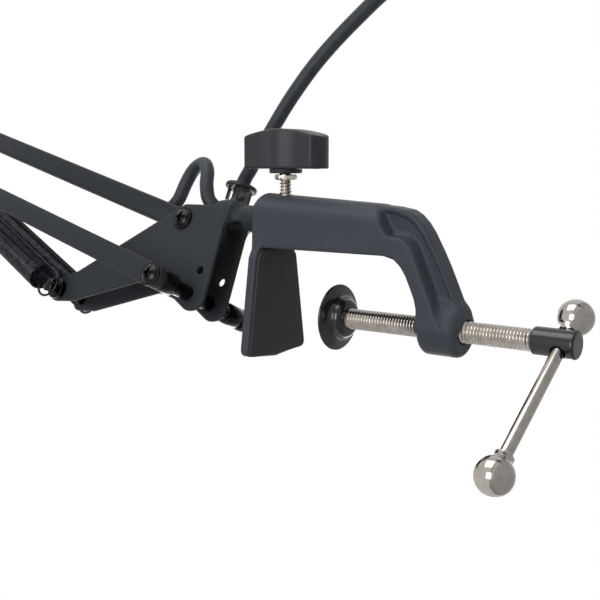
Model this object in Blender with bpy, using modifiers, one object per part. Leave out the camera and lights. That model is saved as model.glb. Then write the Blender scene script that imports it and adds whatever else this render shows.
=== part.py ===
"""Table-clamped microphone boom stand: cast clamp, swivelling bracket, two sprung parallel-bar arms, cable.

Metres, +Z up. The origin is on the clamp's upper jaw face, on the axis of the clamp screw. The table enters
from -X, the lock knob points to +X, and the arms rise to +Z. Everything above the clamp is placed in the arm
frame: its origin is on the post's axis, its X is the way the arms lean, its Y runs along the pivot pins.
"""

import math

import bmesh
import bpy
from mathutils import Matrix, Vector

MM = 0.001
FIT = 0.3 * MM

# Clamp casting
JAW_DEPTH = 26.3 * MM
JAW_TOP = 5.2 * MM
JAW_TIP_X = -18.6 * MM
JAW_ROOT_HALF = 13.0 * MM
JAW_TIP_HALF = 18.7 * MM
LINER_THICK = 0.8 * MM
BLOCK_HALF = 10.5 * MM
BLOCK_FLANK_X = 42.4 * MM
BLOCK_BACK_X = 48.0 * MM
WEB_HALF = 4.0 * MM
FLANGE_THICK = 5.6 * MM
STEP_Z = -55.5 * MM
BOSS_TOP_Z = -70.4 * MM
BOSS_LENGTH = 15.2 * MM
BOSS_RADIUS = 9.6 * MM

# Clamp screw, swivel pad and handle
SCREW_RADIUS = 4.0 * MM
SCREW_CLEARANCE = 0.4 * MM
PAD_RADIUS = 13.0 * MM
PAD_RIM_THICK = 1.4 * MM
PAD_HEIGHT = 6.6 * MM
PAD_FACE_Z = -29.6 * MM
CAP_TOP_Z = -112.2 * MM
CAP_LENGTH = 15.6 * MM
CAP_RADIUS = 5.0 * MM
HANDLE_Z = -122.3 * MM
HANDLE_RADIUS = 2.3 * MM
HANDLE_CLEARANCE = 0.3 * MM
HANDLE_ANGLE = math.radians(55.4)
BALL_RADIUS = 6.5 * MM
BALL_SPACING = 71.3 * MM
BALL_NECK = 1.4 * MM

# Lock knob
KNOB_Z = -4.0 * MM
KNOB_WIDTH = 38.0 * MM
KNOB_DEPTH = 15.0 * MM
KNOB_HEIGHT = 12.7 * MM
KNOB_CROWN = 3.2 * MM
KNOB_BASE_X = 57.5 * MM
LOCK_STUD_RADIUS = 2.5 * MM
LOCK_NUT_RADIUS = 4.3 * MM
LOCK_NUT_HEIGHT = 2.3 * MM

# Post and base bracket
POST_X = 36.9 * MM
POST_RADIUS = 5.65 * MM
POST_DEPTH = 20.0 * MM
SWIVEL_ANGLE = math.radians(25.4)
PLATE_THICK = 1.9 * MM
PLATE_OUTER = 8.0 * MM
PLATE_FOOT_Z = 19.9 * MM
PLATE_FRONT_X = 2.6 * MM
HUB_HEIGHT = 12.4 * MM
HUB_SHOULDER = 4.0 * MM
LOWER_PIVOT = Vector((-36.8, 0, 29.5)) * MM
UPPER_OFFSET = Vector((32.5, 0, 15.4)) * MM
SPRING_REACH = 80.0 * MM
SPRING_LAG = math.radians(18.06)
SPARE_HOLE = Vector((-26.6, 0, 26.6)) * MM
SPARE_HOLE_RADIUS = 1.8 * MM

# Arms
ARM_LENGTH = 350.0 * MM
LOWER_LEAN = math.radians(14.4)
UPPER_LEAN = math.radians(66.0)
BAR_HEIGHT = 9.4 * MM
BAR_OVERHANG = 6.2 * MM
SIDE_BAR_OUTER = 30.0 * MM
SIDE_BAR_THICK = 3.6 * MM
CENTRE_BAR_WALL = 1.2 * MM
ELBOW_RISE = Vector((-5.2, 0, 56.5)) * MM

# Pins and bolts
PIN_RADIUS = 2.4 * MM
PIN_CLEARANCE = 0.3 * MM
BOLT_HEAD_RADIUS = 4.2 * MM
BOLT_HEAD_HEIGHT = 2.2 * MM
BUSH_RADIUS = 4.6 * MM
BUSH_LENGTH = 8.6 * MM
TUBE_RADIUS = 3.3 * MM
SPRING_PIN_HALF = 15.6 * MM
COLLAR_RADIUS = 4.8 * MM

# Springs
SPRING_SIDE = 12.8 * MM
SPRING_RADIUS = 6.35 * MM
SPRING_WIRE = 1.2 * MM
SPRING_ANCHOR = 231.8 * MM
SPRING_START = 10.0 * MM
SPRING_END_GAP = 24.0 * MM
LOOP_RADIUS = 3.3 * MM
SLEEVE_WALL = 0.9 * MM
SLEEVE_LENGTH = 11.0 * MM
SHANK_RADIUS = 0.8 * MM
SHANK_LENGTH = 46.0 * MM

# Head
HEAD_TILT_OFFSET = Vector((52.0, 0, 6.0)) * MM
TILT_BLOCK_RADIUS = 6.5 * MM
STEM_HEIGHT = 16.0 * MM
MIC_THREAD_RADIUS = 7.9 * MM
MIC_THREAD_LENGTH = 14.0 * MM
MIC_COLLAR_RADIUS = 10.5 * MM
MIC_COLLAR_HEIGHT = 4.0 * MM

# Cable
CABLE_RADIUS = 3.1 * MM
COIL_MEAN_RADIUS = 34.0 * MM
COIL_THICK = 20.8 * MM
COIL_LAY = 7.26 * MM
CONNECTOR_RADIUS = 9.5 * MM
CONNECTOR_LENGTH = 62.0 * MM
TIE_WALL = 1.0 * MM
TIE_WIDTH = 4.5 * MM
CLIP_SPOT = Vector((18.1, 12.0, 36.5)) * MM
CLIP_RADIUS = 6.2 * MM
CLIP_FLANGE = 1.8 * MM
CLIP_BODY = 6.0 * MM
CLIP_WALL = 1.1 * MM
CLIP_CLEARANCE = 0.6 * MM

for old in list(bpy.data.objects):
    bpy.data.objects.remove(old, do_unlink=True)
PARTS = bpy.data.collections.new("microphone_stand")
CUTTERS = bpy.data.collections.new("cutters")
for new_collection in (PARTS, CUTTERS):
    bpy.context.scene.collection.children.link(new_collection)

WORLD = Matrix.Identity(4)
ARM_FRAME = Matrix.Translation((POST_X, 0, 0)) @ Matrix.Rotation(SWIVEL_ANGLE, 4, "Z")
ACROSS = Matrix.Rotation(math.radians(90), 4, "X")
TO_X = Matrix.Rotation(math.radians(90), 4, "Y")


def material(name, colour, roughness, metallic=0.0):
    made = bpy.data.materials.new(name)
    made.use_nodes = True
    shader = made.node_tree.nodes["Principled BSDF"]
    shader.inputs["Base Color"].default_value = (*colour, 1)
    shader.inputs["Roughness"].default_value = roughness
    shader.inputs["Metallic"].default_value = metallic
    return made


BLACK_COAT = material("black_powder_coat", (0.030, 0.031, 0.034), 0.5)
BLACK_PAINT = material("black_bar_paint", (0.022, 0.024, 0.027), 0.38)
BLACK_PLASTIC = material("black_plastic", (0.012, 0.012, 0.013), 0.4)
LINER = material("jaw_liner_rubber", (0.010, 0.010, 0.011), 0.8)
ZINC = material("zinc_plated_steel", (0.62, 0.60, 0.57), 0.3, 1.0)
NICKEL = material("polished_nickel", (0.72, 0.69, 0.65), 0.15, 1.0)
BLACK_STEEL = material("blackened_steel", (0.03, 0.03, 0.033), 0.3, 0.8)
CABLE_PVC = material("cable_pvc", (0.016, 0.016, 0.018), 0.45)


def finish(made, name, skin, place):
    """Names an object, gives it its material, shading and place, and files it with the parts."""
    made.name = name
    made.data.materials.clear()
    made.data.materials.append(skin)
    made.matrix_world = place @ made.matrix_world
    for holder in list(made.users_collection):
        holder.objects.unlink(made)
    PARTS.objects.link(made)
    if made.type == "MESH":
        made.data.shade_smooth()
        made.data.set_sharp_from_angle(angle=math.radians(35))
    return made


def circle(x, z, radius, steps=14):
    turns = [2 * math.pi * i / steps for i in range(steps)]
    return [(x + radius * math.cos(t), z + radius * math.sin(t)) for t in turns]


def rounded(corners, steps=4):
    """An outline from (x, z, radius) corners, each corner rounded by an arc of that radius."""
    points = []
    for i, (x, z, radius) in enumerate(corners):
        here = Vector((x, z))
        before = (Vector(corners[i - 1][:2]) - here).normalized()
        after = (Vector(corners[(i + 1) % len(corners)][:2]) - here).normalized()
        if radius == 0:
            points.append(tuple(here))
            continue
        half = before.angle(after) / 2
        middle = here + (before + after).normalized() * (radius / math.sin(half))
        start = here + before * (radius / math.tan(half)) - middle
        end = here + after * (radius / math.tan(half)) - middle
        sweep = start.angle_signed(end)
        for k in range(steps + 1):
            arm = start.copy()
            arm.rotate(Matrix.Rotation(-sweep * k / steps, 2))
            points.append(tuple(middle + arm))
    return points


def slab(outlines, low, high):
    """A flat solid: outlines in local X and Y, the later ones holes, from low to high along local Z."""
    curve = bpy.data.curves.new("outline", "CURVE")
    curve.dimensions = "2D"
    curve.fill_mode = "BOTH"
    curve.extrude = (high - low) / 2
    for outline in outlines:
        spline = curve.splines.new("POLY")
        spline.points.add(len(outline) - 1)
        for point, (x, y) in zip(spline.points, outline):
            point.co = (x, y, 0, 1)
        spline.use_cyclic_u = True
    flat = bpy.data.objects.new("outline", curve)
    CUTTERS.objects.link(flat)
    bpy.context.view_layer.update()
    mesh = bpy.data.meshes.new_from_object(flat.evaluated_get(bpy.context.evaluated_depsgraph_get()))
    bpy.data.objects.remove(flat, do_unlink=True)
    work = bmesh.new()
    work.from_mesh(mesh)
    bmesh.ops.remove_doubles(work, verts=work.verts, dist=1e-6)
    bmesh.ops.translate(work, verts=work.verts, vec=(0, 0, (high + low) / 2))
    bmesh.ops.recalc_face_normals(work, faces=work.faces)
    work.to_mesh(mesh)
    work.free()
    made = bpy.data.objects.new("slab", mesh)
    CUTTERS.objects.link(made)
    return made


def across(outlines, low, high):
    """A slab that lies in the plane of local X and Z, from low to high along local Y."""
    made = slab(outlines, -high, -low)
    made.data.transform(ACROSS)
    return made


def turned(profile, steps=20):
    """A solid of revolution about local Z from (radius, height) points that run from the top to the bottom.

    A profile that ends where it starts makes a ring.
    """
    mesh = bpy.data.meshes.new("turned")
    points = [(radius, 0, height) for radius, height in profile]
    lines = [(i, i + 1) for i in range(len(points) - 1)]
    if points[0] == points[-1]:
        points.pop()
        lines[-1] = (len(points) - 1, 0)
    mesh.from_pydata(points, lines, [])
    made = bpy.data.objects.new("turned", mesh)
    CUTTERS.objects.link(made)
    spin = made.modifiers.new("spin", "SCREW")
    spin.steps = steps
    spin.render_steps = steps
    spin.use_merge_vertices = True
    spin.merge_threshold = 1e-5
    return apply(made)


def apply(made):
    """Turns the evaluated shape into the object's own mesh."""
    bpy.context.view_layer.update()
    mesh = bpy.data.meshes.new_from_object(made.evaluated_get(bpy.context.evaluated_depsgraph_get()))
    made.modifiers.clear()
    made.data = mesh
    return made


def ball(radius, centre):
    mesh = bpy.data.meshes.new("ball")
    work = bmesh.new()
    bmesh.ops.create_uvsphere(work, u_segments=20, v_segments=12, radius=radius)
    bmesh.ops.translate(work, verts=work.verts, vec=centre)
    work.to_mesh(mesh)
    work.free()
    made = bpy.data.objects.new("ball", mesh)
    CUTTERS.objects.link(made)
    return made


def box(low, high):
    return slab([[(low[0], low[1]), (high[0], low[1]), (high[0], high[1]), (low[0], high[1])]], low[2], high[2])


def combine(base, other, operation):
    """Joins other to base, or cuts it away, and removes other."""
    step = base.modifiers.new(operation.lower(), "BOOLEAN")
    step.operation = operation
    step.solver = "EXACT"
    step.object = other
    apply(base)
    bpy.data.objects.remove(other, do_unlink=True)
    return base


def join(base, *others):
    for other in others:
        combine(base, other, "UNION")
    return base


def cut(base, *others):
    for other in others:
        combine(base, other, "DIFFERENCE")
    return base


def soften(made, width, segments=2):
    edge = made.modifiers.new("edges", "BEVEL")
    edge.width = width
    edge.segments = segments
    edge.limit_method = "ANGLE"
    edge.angle_limit = math.radians(40)
    return apply(made)


def moved(made, matrix):
    made.data.transform(matrix)
    return made


def smooth_route(points, spacing):
    """A route with straight end legs and, between them, even steps on the smooth curve through its points."""
    if len(points) < 4:
        return points
    fine = []
    for a, b, c, d in zip(points, points[1:], points[2:], points[3:]):
        for k in range(20):
            t = k / 20
            fine.append(
                0.5 * (2 * b + (c - a) * t + (2 * a - 5 * b + 4 * c - d) * t * t + (3 * b - a - 3 * c + d) * t**3)
            )
    fine.append(points[-2])
    total = sum((q - p).length for p, q in zip(fine, fine[1:]))
    count = max(2, round(total / spacing))
    even, walked, target = [fine[0]], 0.0, total / count
    for p, q in zip(fine, fine[1:]):
        length = (q - p).length
        while walked + length >= target and len(even) < count:
            even.append(p.lerp(q, (target - walked) / length))
            target += total / count
        walked += length
    return [points[0], *even, fine[-1], points[-1]]


def cord(name, points, radius, skin, place, spacing=0.014):
    """A round cord along a route: a poly curve with filled caps."""
    curve = bpy.data.curves.new(name, "CURVE")
    curve.dimensions = "3D"
    curve.bevel_depth = radius
    curve.bevel_resolution = 2
    curve.use_fill_caps = True
    route = smooth_route(points, spacing)
    spline = curve.splines.new("POLY")
    spline.points.add(len(route) - 1)
    for point, spot in zip(spline.points, route):
        point.co = (*spot, 1)
    made = bpy.data.objects.new(name, curve)
    CUTTERS.objects.link(made)
    return finish(made, name, skin, place)


def at(spot, turn=0.0, side=0.0):
    """A place in the arm's plane, turned about the pin direction; zero keeps local Z upright."""
    return Matrix.Translation((spot.x, side, spot.z)) @ Matrix.Rotation(turn, 4, "Y")


def lean(angle):
    return Vector((math.sin(angle), 0, math.cos(angle)))


# Clamp: a block, a flange and web that bend down to the screw boss, and the jaw plate

BOSS_BOTTOM_Z = BOSS_TOP_Z - BOSS_LENGTH
CORNER_Z = BOSS_TOP_Z + 9 * MM


def inner_line():
    """The throat side of the casting, from the jaw down to the boss, as (x, z) points."""
    return [
        (JAW_DEPTH, JAW_TOP - 1 * MM),
        (JAW_DEPTH, CORNER_Z + 3.4 * MM),
        (JAW_DEPTH - 1.1 * MM, CORNER_Z - 0.1 * MM),
        (JAW_DEPTH - 3.6 * MM, CORNER_Z - 3.1 * MM),
        (JAW_DEPTH - 6.9 * MM, CORNER_Z - 5.3 * MM),
        (JAW_DEPTH - 11.6 * MM, CORNER_Z - 7.4 * MM),
        (BOSS_RADIUS - 1.5 * MM, BOSS_TOP_Z - 0.6 * MM),
        (0, BOSS_TOP_Z - 0.6 * MM),
    ]


def clamp_casting():
    block = across(
        [[
            (JAW_DEPTH, JAW_TOP),
            (JAW_DEPTH, STEP_Z - 4 * MM),
            (BLOCK_FLANK_X - 8.7 * MM, STEP_Z - 2.8 * MM),
            (BLOCK_BACK_X - 4.0 * MM, STEP_Z + 2.6 * MM),
            (BLOCK_BACK_X - 0.9 * MM, -7 * MM),
            (BLOCK_BACK_X, JAW_TOP - 2 * MM),
            (BLOCK_BACK_X - 2 * MM, JAW_TOP),
        ]],
        -BLOCK_HALF,
        BLOCK_HALF,
    )
    crown_rise = BLOCK_BACK_X - BLOCK_FLANK_X
    crown_radius = (BLOCK_HALF**2 + crown_rise**2) / (2 * crown_rise)
    half_angle = math.asin(BLOCK_HALF / crown_radius)
    crown = [
        (BLOCK_BACK_X - crown_radius * (1 - math.cos(t)), crown_radius * math.sin(t))
        for t in (half_angle * k / 5 for k in range(-5, 6))
    ]
    section = slab([[(JAW_DEPTH, -BLOCK_HALF), *crown, (JAW_DEPTH, BLOCK_HALF)]], STEP_Z - 10 * MM, JAW_TOP)
    combine(block, section, "INTERSECT")

    inner = inner_line()
    flange_back = [
        (BOSS_RADIUS - 3 * MM, BOSS_TOP_Z - 7.9 * MM),
        (JAW_DEPTH - 10.8 * MM, CORNER_Z - 7.4 * MM - FLANGE_THICK),
        (JAW_DEPTH - 2.3 * MM, CORNER_Z - 9.2 * MM),
        (JAW_DEPTH + 5.6 * MM, CORNER_Z - 6.2 * MM),
        (JAW_DEPTH + 7.4 * MM, CORNER_Z - 2.9 * MM),
        (JAW_DEPTH + 7.4 * MM, STEP_Z + 6 * MM),
    ]
    flange = across([[inner[0], *inner[1:], (0, BOSS_TOP_Z - 6 * MM), *flange_back,
                      (JAW_DEPTH + 7.4 * MM, JAW_TOP - 3 * MM)]], -BLOCK_HALF + 0.4 * MM, BLOCK_HALF - 0.4 * MM)
    soften(flange, 0.8 * MM, 2)
    web_back = [
        (BLOCK_BACK_X - 3.3 * MM, STEP_Z + 8 * MM),
        (BLOCK_BACK_X - 4.1 * MM, CORNER_Z + 4.0 * MM),
        (BLOCK_BACK_X - 5.1 * MM, CORNER_Z - 1.8 * MM),
        (BLOCK_BACK_X - 6.8 * MM, CORNER_Z - 4.7 * MM),
        (BLOCK_BACK_X - 9.4 * MM, CORNER_Z - 7.5 * MM),
        (BLOCK_BACK_X - 13.0 * MM, CORNER_Z - 10.2 * MM),
        (BLOCK_BACK_X - 19.6 * MM, CORNER_Z - 14.0 * MM),
        (BOSS_RADIUS + 1.2 * MM, BOSS_BOTTOM_Z + 1.9 * MM),
        (BOSS_RADIUS - 3 * MM, BOSS_BOTTOM_Z + 0.6 * MM),
    ]
    web = across([[(JAW_DEPTH + 3 * MM, STEP_Z + 8 * MM), *web_back, (0, BOSS_BOTTOM_Z + 0.6 * MM),
                   (0, BOSS_TOP_Z - 3 * MM), *reversed(inner[2:6])]], -WEB_HALF, WEB_HALF)
    soften(web, 1.6 * MM, 2)
    boss = turned([
        (0, BOSS_TOP_Z), (BOSS_RADIUS - 1.6 * MM, BOSS_TOP_Z), (BOSS_RADIUS - 0.4 * MM, BOSS_TOP_Z - 0.6 * MM),
        (BOSS_RADIUS, BOSS_TOP_Z - 2 * MM), (BOSS_RADIUS - 0.8 * MM, BOSS_BOTTOM_Z + 2 * MM),
        (BOSS_RADIUS - 2.2 * MM, BOSS_BOTTOM_Z), (0, BOSS_BOTTOM_Z),
    ], 28)
    jaw = slab([rounded([
        (JAW_DEPTH + 6 * MM, -BLOCK_HALF + 0.5 * MM, 0), (JAW_DEPTH + 0.6 * MM, -BLOCK_HALF + 0.1 * MM, 0),
        (JAW_DEPTH - 3.8 * MM, -JAW_ROOT_HALF, 5 * MM), (JAW_TIP_X + 1.4 * MM, -JAW_TIP_HALF, 3 * MM),
        (JAW_TIP_X - 0.6 * MM, 0, 0), (JAW_TIP_X + 1.4 * MM, JAW_TIP_HALF, 3 * MM),
        (JAW_DEPTH - 3.8 * MM, JAW_ROOT_HALF, 5 * MM), (JAW_DEPTH + 0.6 * MM, BLOCK_HALF - 0.1 * MM, 0),
        (JAW_DEPTH + 6 * MM, BLOCK_HALF - 0.5 * MM, 0),
    ])], LINER_THICK + FIT, JAW_TOP)
    soften(jaw, 0.7 * MM, 2)
    join(block, flange, web, boss, jaw)
    cut(
        block,
        turned([(0, 0), (SCREW_RADIUS + SCREW_CLEARANCE, 0), (SCREW_RADIUS + SCREW_CLEARANCE, -110 * MM),
                (0, -110 * MM)], 24),
        moved(
            turned([(0, 30 * MM), (POST_RADIUS + FIT, 30 * MM), (POST_RADIUS + FIT, -POST_DEPTH - FIT),
                    (0, -POST_DEPTH - FIT)], 24),
            Matrix.Translation((POST_X, 0, 0)),
        ),
        moved(
            turned([(0, 30 * MM), (LOCK_STUD_RADIUS + FIT, 30 * MM), (LOCK_STUD_RADIUS + FIT, 0), (0, 0)], 16),
            Matrix.Translation((POST_X, 0, KNOB_Z)) @ TO_X,
        ),
    )
    return finish(block, "clamp_frame", BLACK_COAT, WORLD)


clamp_casting()
LINER_INSET = 0.9 * MM
finish(
    slab([rounded([
        (JAW_DEPTH - 0.6 * MM, -BLOCK_HALF + LINER_INSET, 2.4 * MM),
        (JAW_DEPTH - 4.0 * MM, -JAW_ROOT_HALF + LINER_INSET, 4 * MM),
        (JAW_TIP_X + 1.4 * MM, -JAW_TIP_HALF + LINER_INSET, 2.4 * MM), (JAW_TIP_X + 0.4 * MM, 0, 0),
        (JAW_TIP_X + 1.4 * MM, JAW_TIP_HALF - LINER_INSET, 2.4 * MM),
        (JAW_DEPTH - 4.0 * MM, JAW_ROOT_HALF - LINER_INSET, 4 * MM),
        (JAW_DEPTH - 0.6 * MM, BLOCK_HALF - LINER_INSET, 2.4 * MM),
    ])], 0, LINER_THICK),
    "jaw_liner", LINER, WORLD,
)

# Swivel pad, clamp screw, screw cap and sliding handle

NECK_RADIUS = SCREW_RADIUS + 0.9 * MM
PAD_BACK_Z = PAD_FACE_Z - PAD_HEIGHT
SCREW_TIP_Z = PAD_FACE_Z - PAD_RIM_THICK - 1.5 * MM
pad = turned([
    (0, PAD_FACE_Z), (PAD_RADIUS - 0.5 * MM, PAD_FACE_Z), (PAD_RADIUS, PAD_FACE_Z - 0.5 * MM),
    (PAD_RADIUS, PAD_FACE_Z - PAD_RIM_THICK), (PAD_RADIUS - 3.6 * MM, PAD_FACE_Z - PAD_RIM_THICK - 0.5 * MM),
    (PAD_RADIUS - 4.6 * MM, PAD_FACE_Z - PAD_RIM_THICK - 2 * MM), (NECK_RADIUS + 1.6 * MM, PAD_BACK_Z + 1.6 * MM),
    (NECK_RADIUS, PAD_BACK_Z), (0, PAD_BACK_Z),
], 28)
cut(pad, turned([(0, SCREW_TIP_Z + FIT), (SCREW_RADIUS + FIT, SCREW_TIP_Z + FIT),
                 (SCREW_RADIUS + FIT, PAD_BACK_Z - 2 * MM), (0, PAD_BACK_Z - 2 * MM)], 24))
finish(pad, "swivel_pad", BLACK_STEEL, WORLD)
finish(turned([(0, SCREW_TIP_Z), (SCREW_RADIUS, SCREW_TIP_Z), (SCREW_RADIUS, CAP_TOP_Z + FIT), (0, CAP_TOP_Z + FIT)],
              24), "clamp_screw", ZINC, WORLD)

CAP_EDGE = 0.9 * MM
HANDLE_PLACE = (
    Matrix.Translation((0, 0, HANDLE_Z)) @ Matrix.Rotation(math.pi / 2 - HANDLE_ANGLE, 4, "Z").inverted()
    @ Matrix.Rotation(math.radians(-90), 4, "X")
)
FAR_BALL = CAP_RADIUS + BALL_NECK + BALL_RADIUS
NEAR_BALL = FAR_BALL - BALL_SPACING
cap = turned([
    (0, CAP_TOP_Z), (CAP_RADIUS - CAP_EDGE, CAP_TOP_Z), (CAP_RADIUS, CAP_TOP_Z - CAP_EDGE),
    (CAP_RADIUS, CAP_TOP_Z - CAP_LENGTH + CAP_EDGE), (CAP_RADIUS - CAP_EDGE, CAP_TOP_Z - CAP_LENGTH),
    (0, CAP_TOP_Z - CAP_LENGTH),
], 24)
cross_hole = HANDLE_RADIUS + HANDLE_CLEARANCE
cut(cap, moved(turned([(0, 20 * MM), (cross_hole, 20 * MM), (cross_hole, -20 * MM), (0, -20 * MM)], 16),
               HANDLE_PLACE))
finish(cap, "screw_cap", BLACK_STEEL, WORLD)
bar_end = FAR_BALL - BALL_RADIUS - FIT
finish(
    turned([(0, bar_end), (HANDLE_RADIUS, bar_end), (HANDLE_RADIUS, NEAR_BALL + BALL_RADIUS + FIT),
            (0, NEAR_BALL + BALL_RADIUS + FIT)], 16),
    "handle_bar", NICKEL, HANDLE_PLACE,
)
for end_name, centre, inward in (("far", FAR_BALL, -1), ("near", NEAR_BALL, 1)):
    knob_ball = ball(BALL_RADIUS, (0, 0, 0))
    neck_low, neck_high = sorted((inward * 2 * MM, inward * (BALL_RADIUS + BALL_NECK - 2 * FIT)))
    neck = turned([(0, neck_high), (HANDLE_RADIUS + 1.1 * MM, neck_high), (HANDLE_RADIUS + 1.1 * MM, neck_low),
                   (0, neck_low)], 16)
    join(knob_ball, neck)
    socket_low, socket_high = sorted((inward * (BALL_RADIUS - FIT), inward * (BALL_RADIUS + 6 * MM)))
    socket = turned([(0, socket_high), (HANDLE_RADIUS + FIT, socket_high), (HANDLE_RADIUS + FIT, socket_low),
                     (0, socket_low)], 16)
    cut(knob_ball, socket)
    finish(moved(knob_ball, Matrix.Translation((0, 0, centre))), f"handle_ball_{end_name}", NICKEL, HANDLE_PLACE)

# Lock knob and its screw, on an axis along X

KNOB_PLACE = Matrix.Translation((0, 0, KNOB_Z)) @ TO_X
half_width, half_depth = KNOB_WIDTH / 2, KNOB_DEPTH / 2


def wing_depth(along):
    """Half the depth of the knob's wing: a swell at the screw, a lesser one at the tips, and round ends."""
    swell = 0.69 + 0.31 * math.exp(-(along / (0.33 * half_width)) ** 2)
    tip_swell = 0.1 * math.exp(-((along - 0.82 * half_width) / (0.21 * half_width)) ** 2)
    end = max(0, along / half_width - 0.85) / 0.15
    return half_depth * (swell + tip_swell) * math.sqrt(max(0, 1 - end * end))


stations = [half_width * k for k in (-1, -0.985, -0.93, -0.85, -0.66, -0.46, -0.3, -0.15)]
stations += [0.0, *(-x for x in reversed(stations))]
wing = [(x, wing_depth(abs(x))) for x in stations]
wing += [(x, -depth) for x, depth in reversed(wing[1:-1])]
knob = slab([wing], KNOB_BASE_X, KNOB_BASE_X + KNOB_HEIGHT + KNOB_CROWN)
crown_radius = (half_width**2 + KNOB_CROWN**2) / (2 * KNOB_CROWN)
arch = [
    (crown_radius * math.sin(t), KNOB_BASE_X + KNOB_HEIGHT + KNOB_CROWN - crown_radius * (1 - math.cos(t)))
    for t in (math.asin(half_width * 1.02 / crown_radius) * k / 6 for k in range(-6, 7))
]
side_face = [(-half_width * 1.02, KNOB_BASE_X - 1 * MM), *arch, (half_width * 1.02, KNOB_BASE_X - 1 * MM)]
combine(knob, across([side_face], -half_depth * 1.1, half_depth * 1.1), "INTERSECT")
soften(knob, 0.8 * MM, 1)
HUB_BASE_X = KNOB_BASE_X - 1.7 * MM
join(knob, turned([(0, KNOB_BASE_X + 2 * MM), (6.6 * MM, KNOB_BASE_X + 2 * MM), (6.6 * MM, HUB_BASE_X),
                   (0, HUB_BASE_X)], 20))
cut(knob, turned([(0, KNOB_BASE_X + 6.3 * MM), (LOCK_STUD_RADIUS + FIT, KNOB_BASE_X + 6.3 * MM),
                  (LOCK_STUD_RADIUS + FIT, HUB_BASE_X - 1 * MM), (0, HUB_BASE_X - 1 * MM)], 16))
finish(knob, "lock_knob", BLACK_PLASTIC, KNOB_PLACE)
nut_top = HUB_BASE_X - FIT
stud_tip = POST_X + POST_RADIUS + FIT
lock_stud = turned([
    (0, KNOB_BASE_X + 6 * MM), (LOCK_STUD_RADIUS, KNOB_BASE_X + 6 * MM), (LOCK_STUD_RADIUS, nut_top),
    (LOCK_NUT_RADIUS, nut_top), (LOCK_NUT_RADIUS, nut_top - LOCK_NUT_HEIGHT),
    (LOCK_STUD_RADIUS, nut_top - LOCK_NUT_HEIGHT), (LOCK_STUD_RADIUS, stud_tip), (0, stud_tip),
], 16)
finish(lock_stud, "lock_screw", ZINC, KNOB_PLACE)

# Places of the pivots in the arm's plane

UPPER_PIVOT = LOWER_PIVOT + UPPER_OFFSET
LOWER_ALONG = lean(LOWER_LEAN)
UPPER_ALONG = lean(UPPER_LEAN)
SECTION_TURN = UPPER_LEAN - LOWER_LEAN
SECTION_ROTATION = Matrix.Rotation(SECTION_TURN, 3, "Y")
ELBOW_LOWER = LOWER_PIVOT + ARM_LENGTH * LOWER_ALONG
ELBOW_UPPER = UPPER_PIVOT + ARM_LENGTH * LOWER_ALONG
SECOND_LOWER = ELBOW_LOWER + ELBOW_RISE
SECOND_UPPER = SECOND_LOWER + SECTION_ROTATION @ UPPER_OFFSET
HEAD_LOWER = SECOND_LOWER + ARM_LENGTH * UPPER_ALONG
HEAD_UPPER = SECOND_UPPER + ARM_LENGTH * UPPER_ALONG
HEAD_TILT = HEAD_LOWER + HEAD_TILT_OFFSET
SPRING_FOOT = LOWER_PIVOT + SPRING_REACH * lean(LOWER_LEAN - SPRING_LAG)
SECOND_FOOT = SECOND_LOWER + SPRING_REACH * lean(UPPER_LEAN - SPRING_LAG)
PLATE_INNER = PLATE_OUTER - PLATE_THICK
PIN_HOLE = PIN_RADIUS + PIN_CLEARANCE


def pivot_hole(spot, radius=PIN_HOLE):
    return circle(spot.x, spot.z, radius)


def two_plates(corners, holes):
    """A near and a far plate with the same outline and holes, as a list of two solids."""
    outlines = [rounded(corners), *holes]
    return [across(outlines, low, low + PLATE_THICK) for low in (-PLATE_OUTER, PLATE_INNER)]


def around(spot, dx, dz, radius):
    return (spot.x + dx * MM, spot.z + dz * MM, radius * MM)


# Base bracket: two plates on a hub, cast with the post

foot = PLATE_FOOT_Z
plates = two_plates(
    [
        (PLATE_FRONT_X, foot, 0), (PLATE_FRONT_X, UPPER_PIVOT.z + 1.6 * MM, 3 * MM),
        around(SPRING_FOOT, 9.8, -8.4, 8), around(SPRING_FOOT, 4.0, 6.4, 4.5),
        around(SPRING_FOOT, -5.6, 4.8, 4.5), around(SPRING_FOOT, -4.4, -10.2, 4), around(LOWER_PIVOT, 0.6, 36.5, 9),
        around(LOWER_PIVOT, -5.6, 8.0, 6), (LOWER_PIVOT.x - 7.0 * MM, foot, 4 * MM),
        (-POST_RADIUS - 1.6 * MM, foot, 0),
    ],
    [pivot_hole(LOWER_PIVOT), pivot_hole(UPPER_PIVOT), pivot_hole(SPRING_FOOT, 2.3 * MM),
     pivot_hole(SPARE_HOLE, SPARE_HOLE_RADIUS)],
)
HUB_TOP_Z = PLATE_FOOT_Z + HUB_HEIGHT
hub_half = PLATE_OUTER - 0.6 * MM
hub = slab([rounded([
    (-POST_RADIUS, -hub_half, 3 * MM), (POST_RADIUS + 0.1 * MM, -hub_half, 4 * MM),
    (POST_RADIUS + 0.1 * MM, hub_half, 4 * MM), (-POST_RADIUS, hub_half, 3 * MM),
])], PLATE_FOOT_Z - HUB_SHOULDER, HUB_TOP_Z)
post = turned([
    (0, PLATE_FOOT_Z), (POST_RADIUS + 0.8 * MM, PLATE_FOOT_Z), (POST_RADIUS + 0.8 * MM, PLATE_FOOT_Z - 4 * MM),
    (POST_RADIUS, PLATE_FOOT_Z - 7 * MM),
    (POST_RADIUS, 1 * MM - POST_DEPTH), (POST_RADIUS - 1 * MM, -POST_DEPTH), (0, -POST_DEPTH),
], 24)
finish(join(hub, post, *plates), "base_bracket", BLACK_COAT, ARM_FRAME)

# Bolts, shafts, bushes and pins


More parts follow.
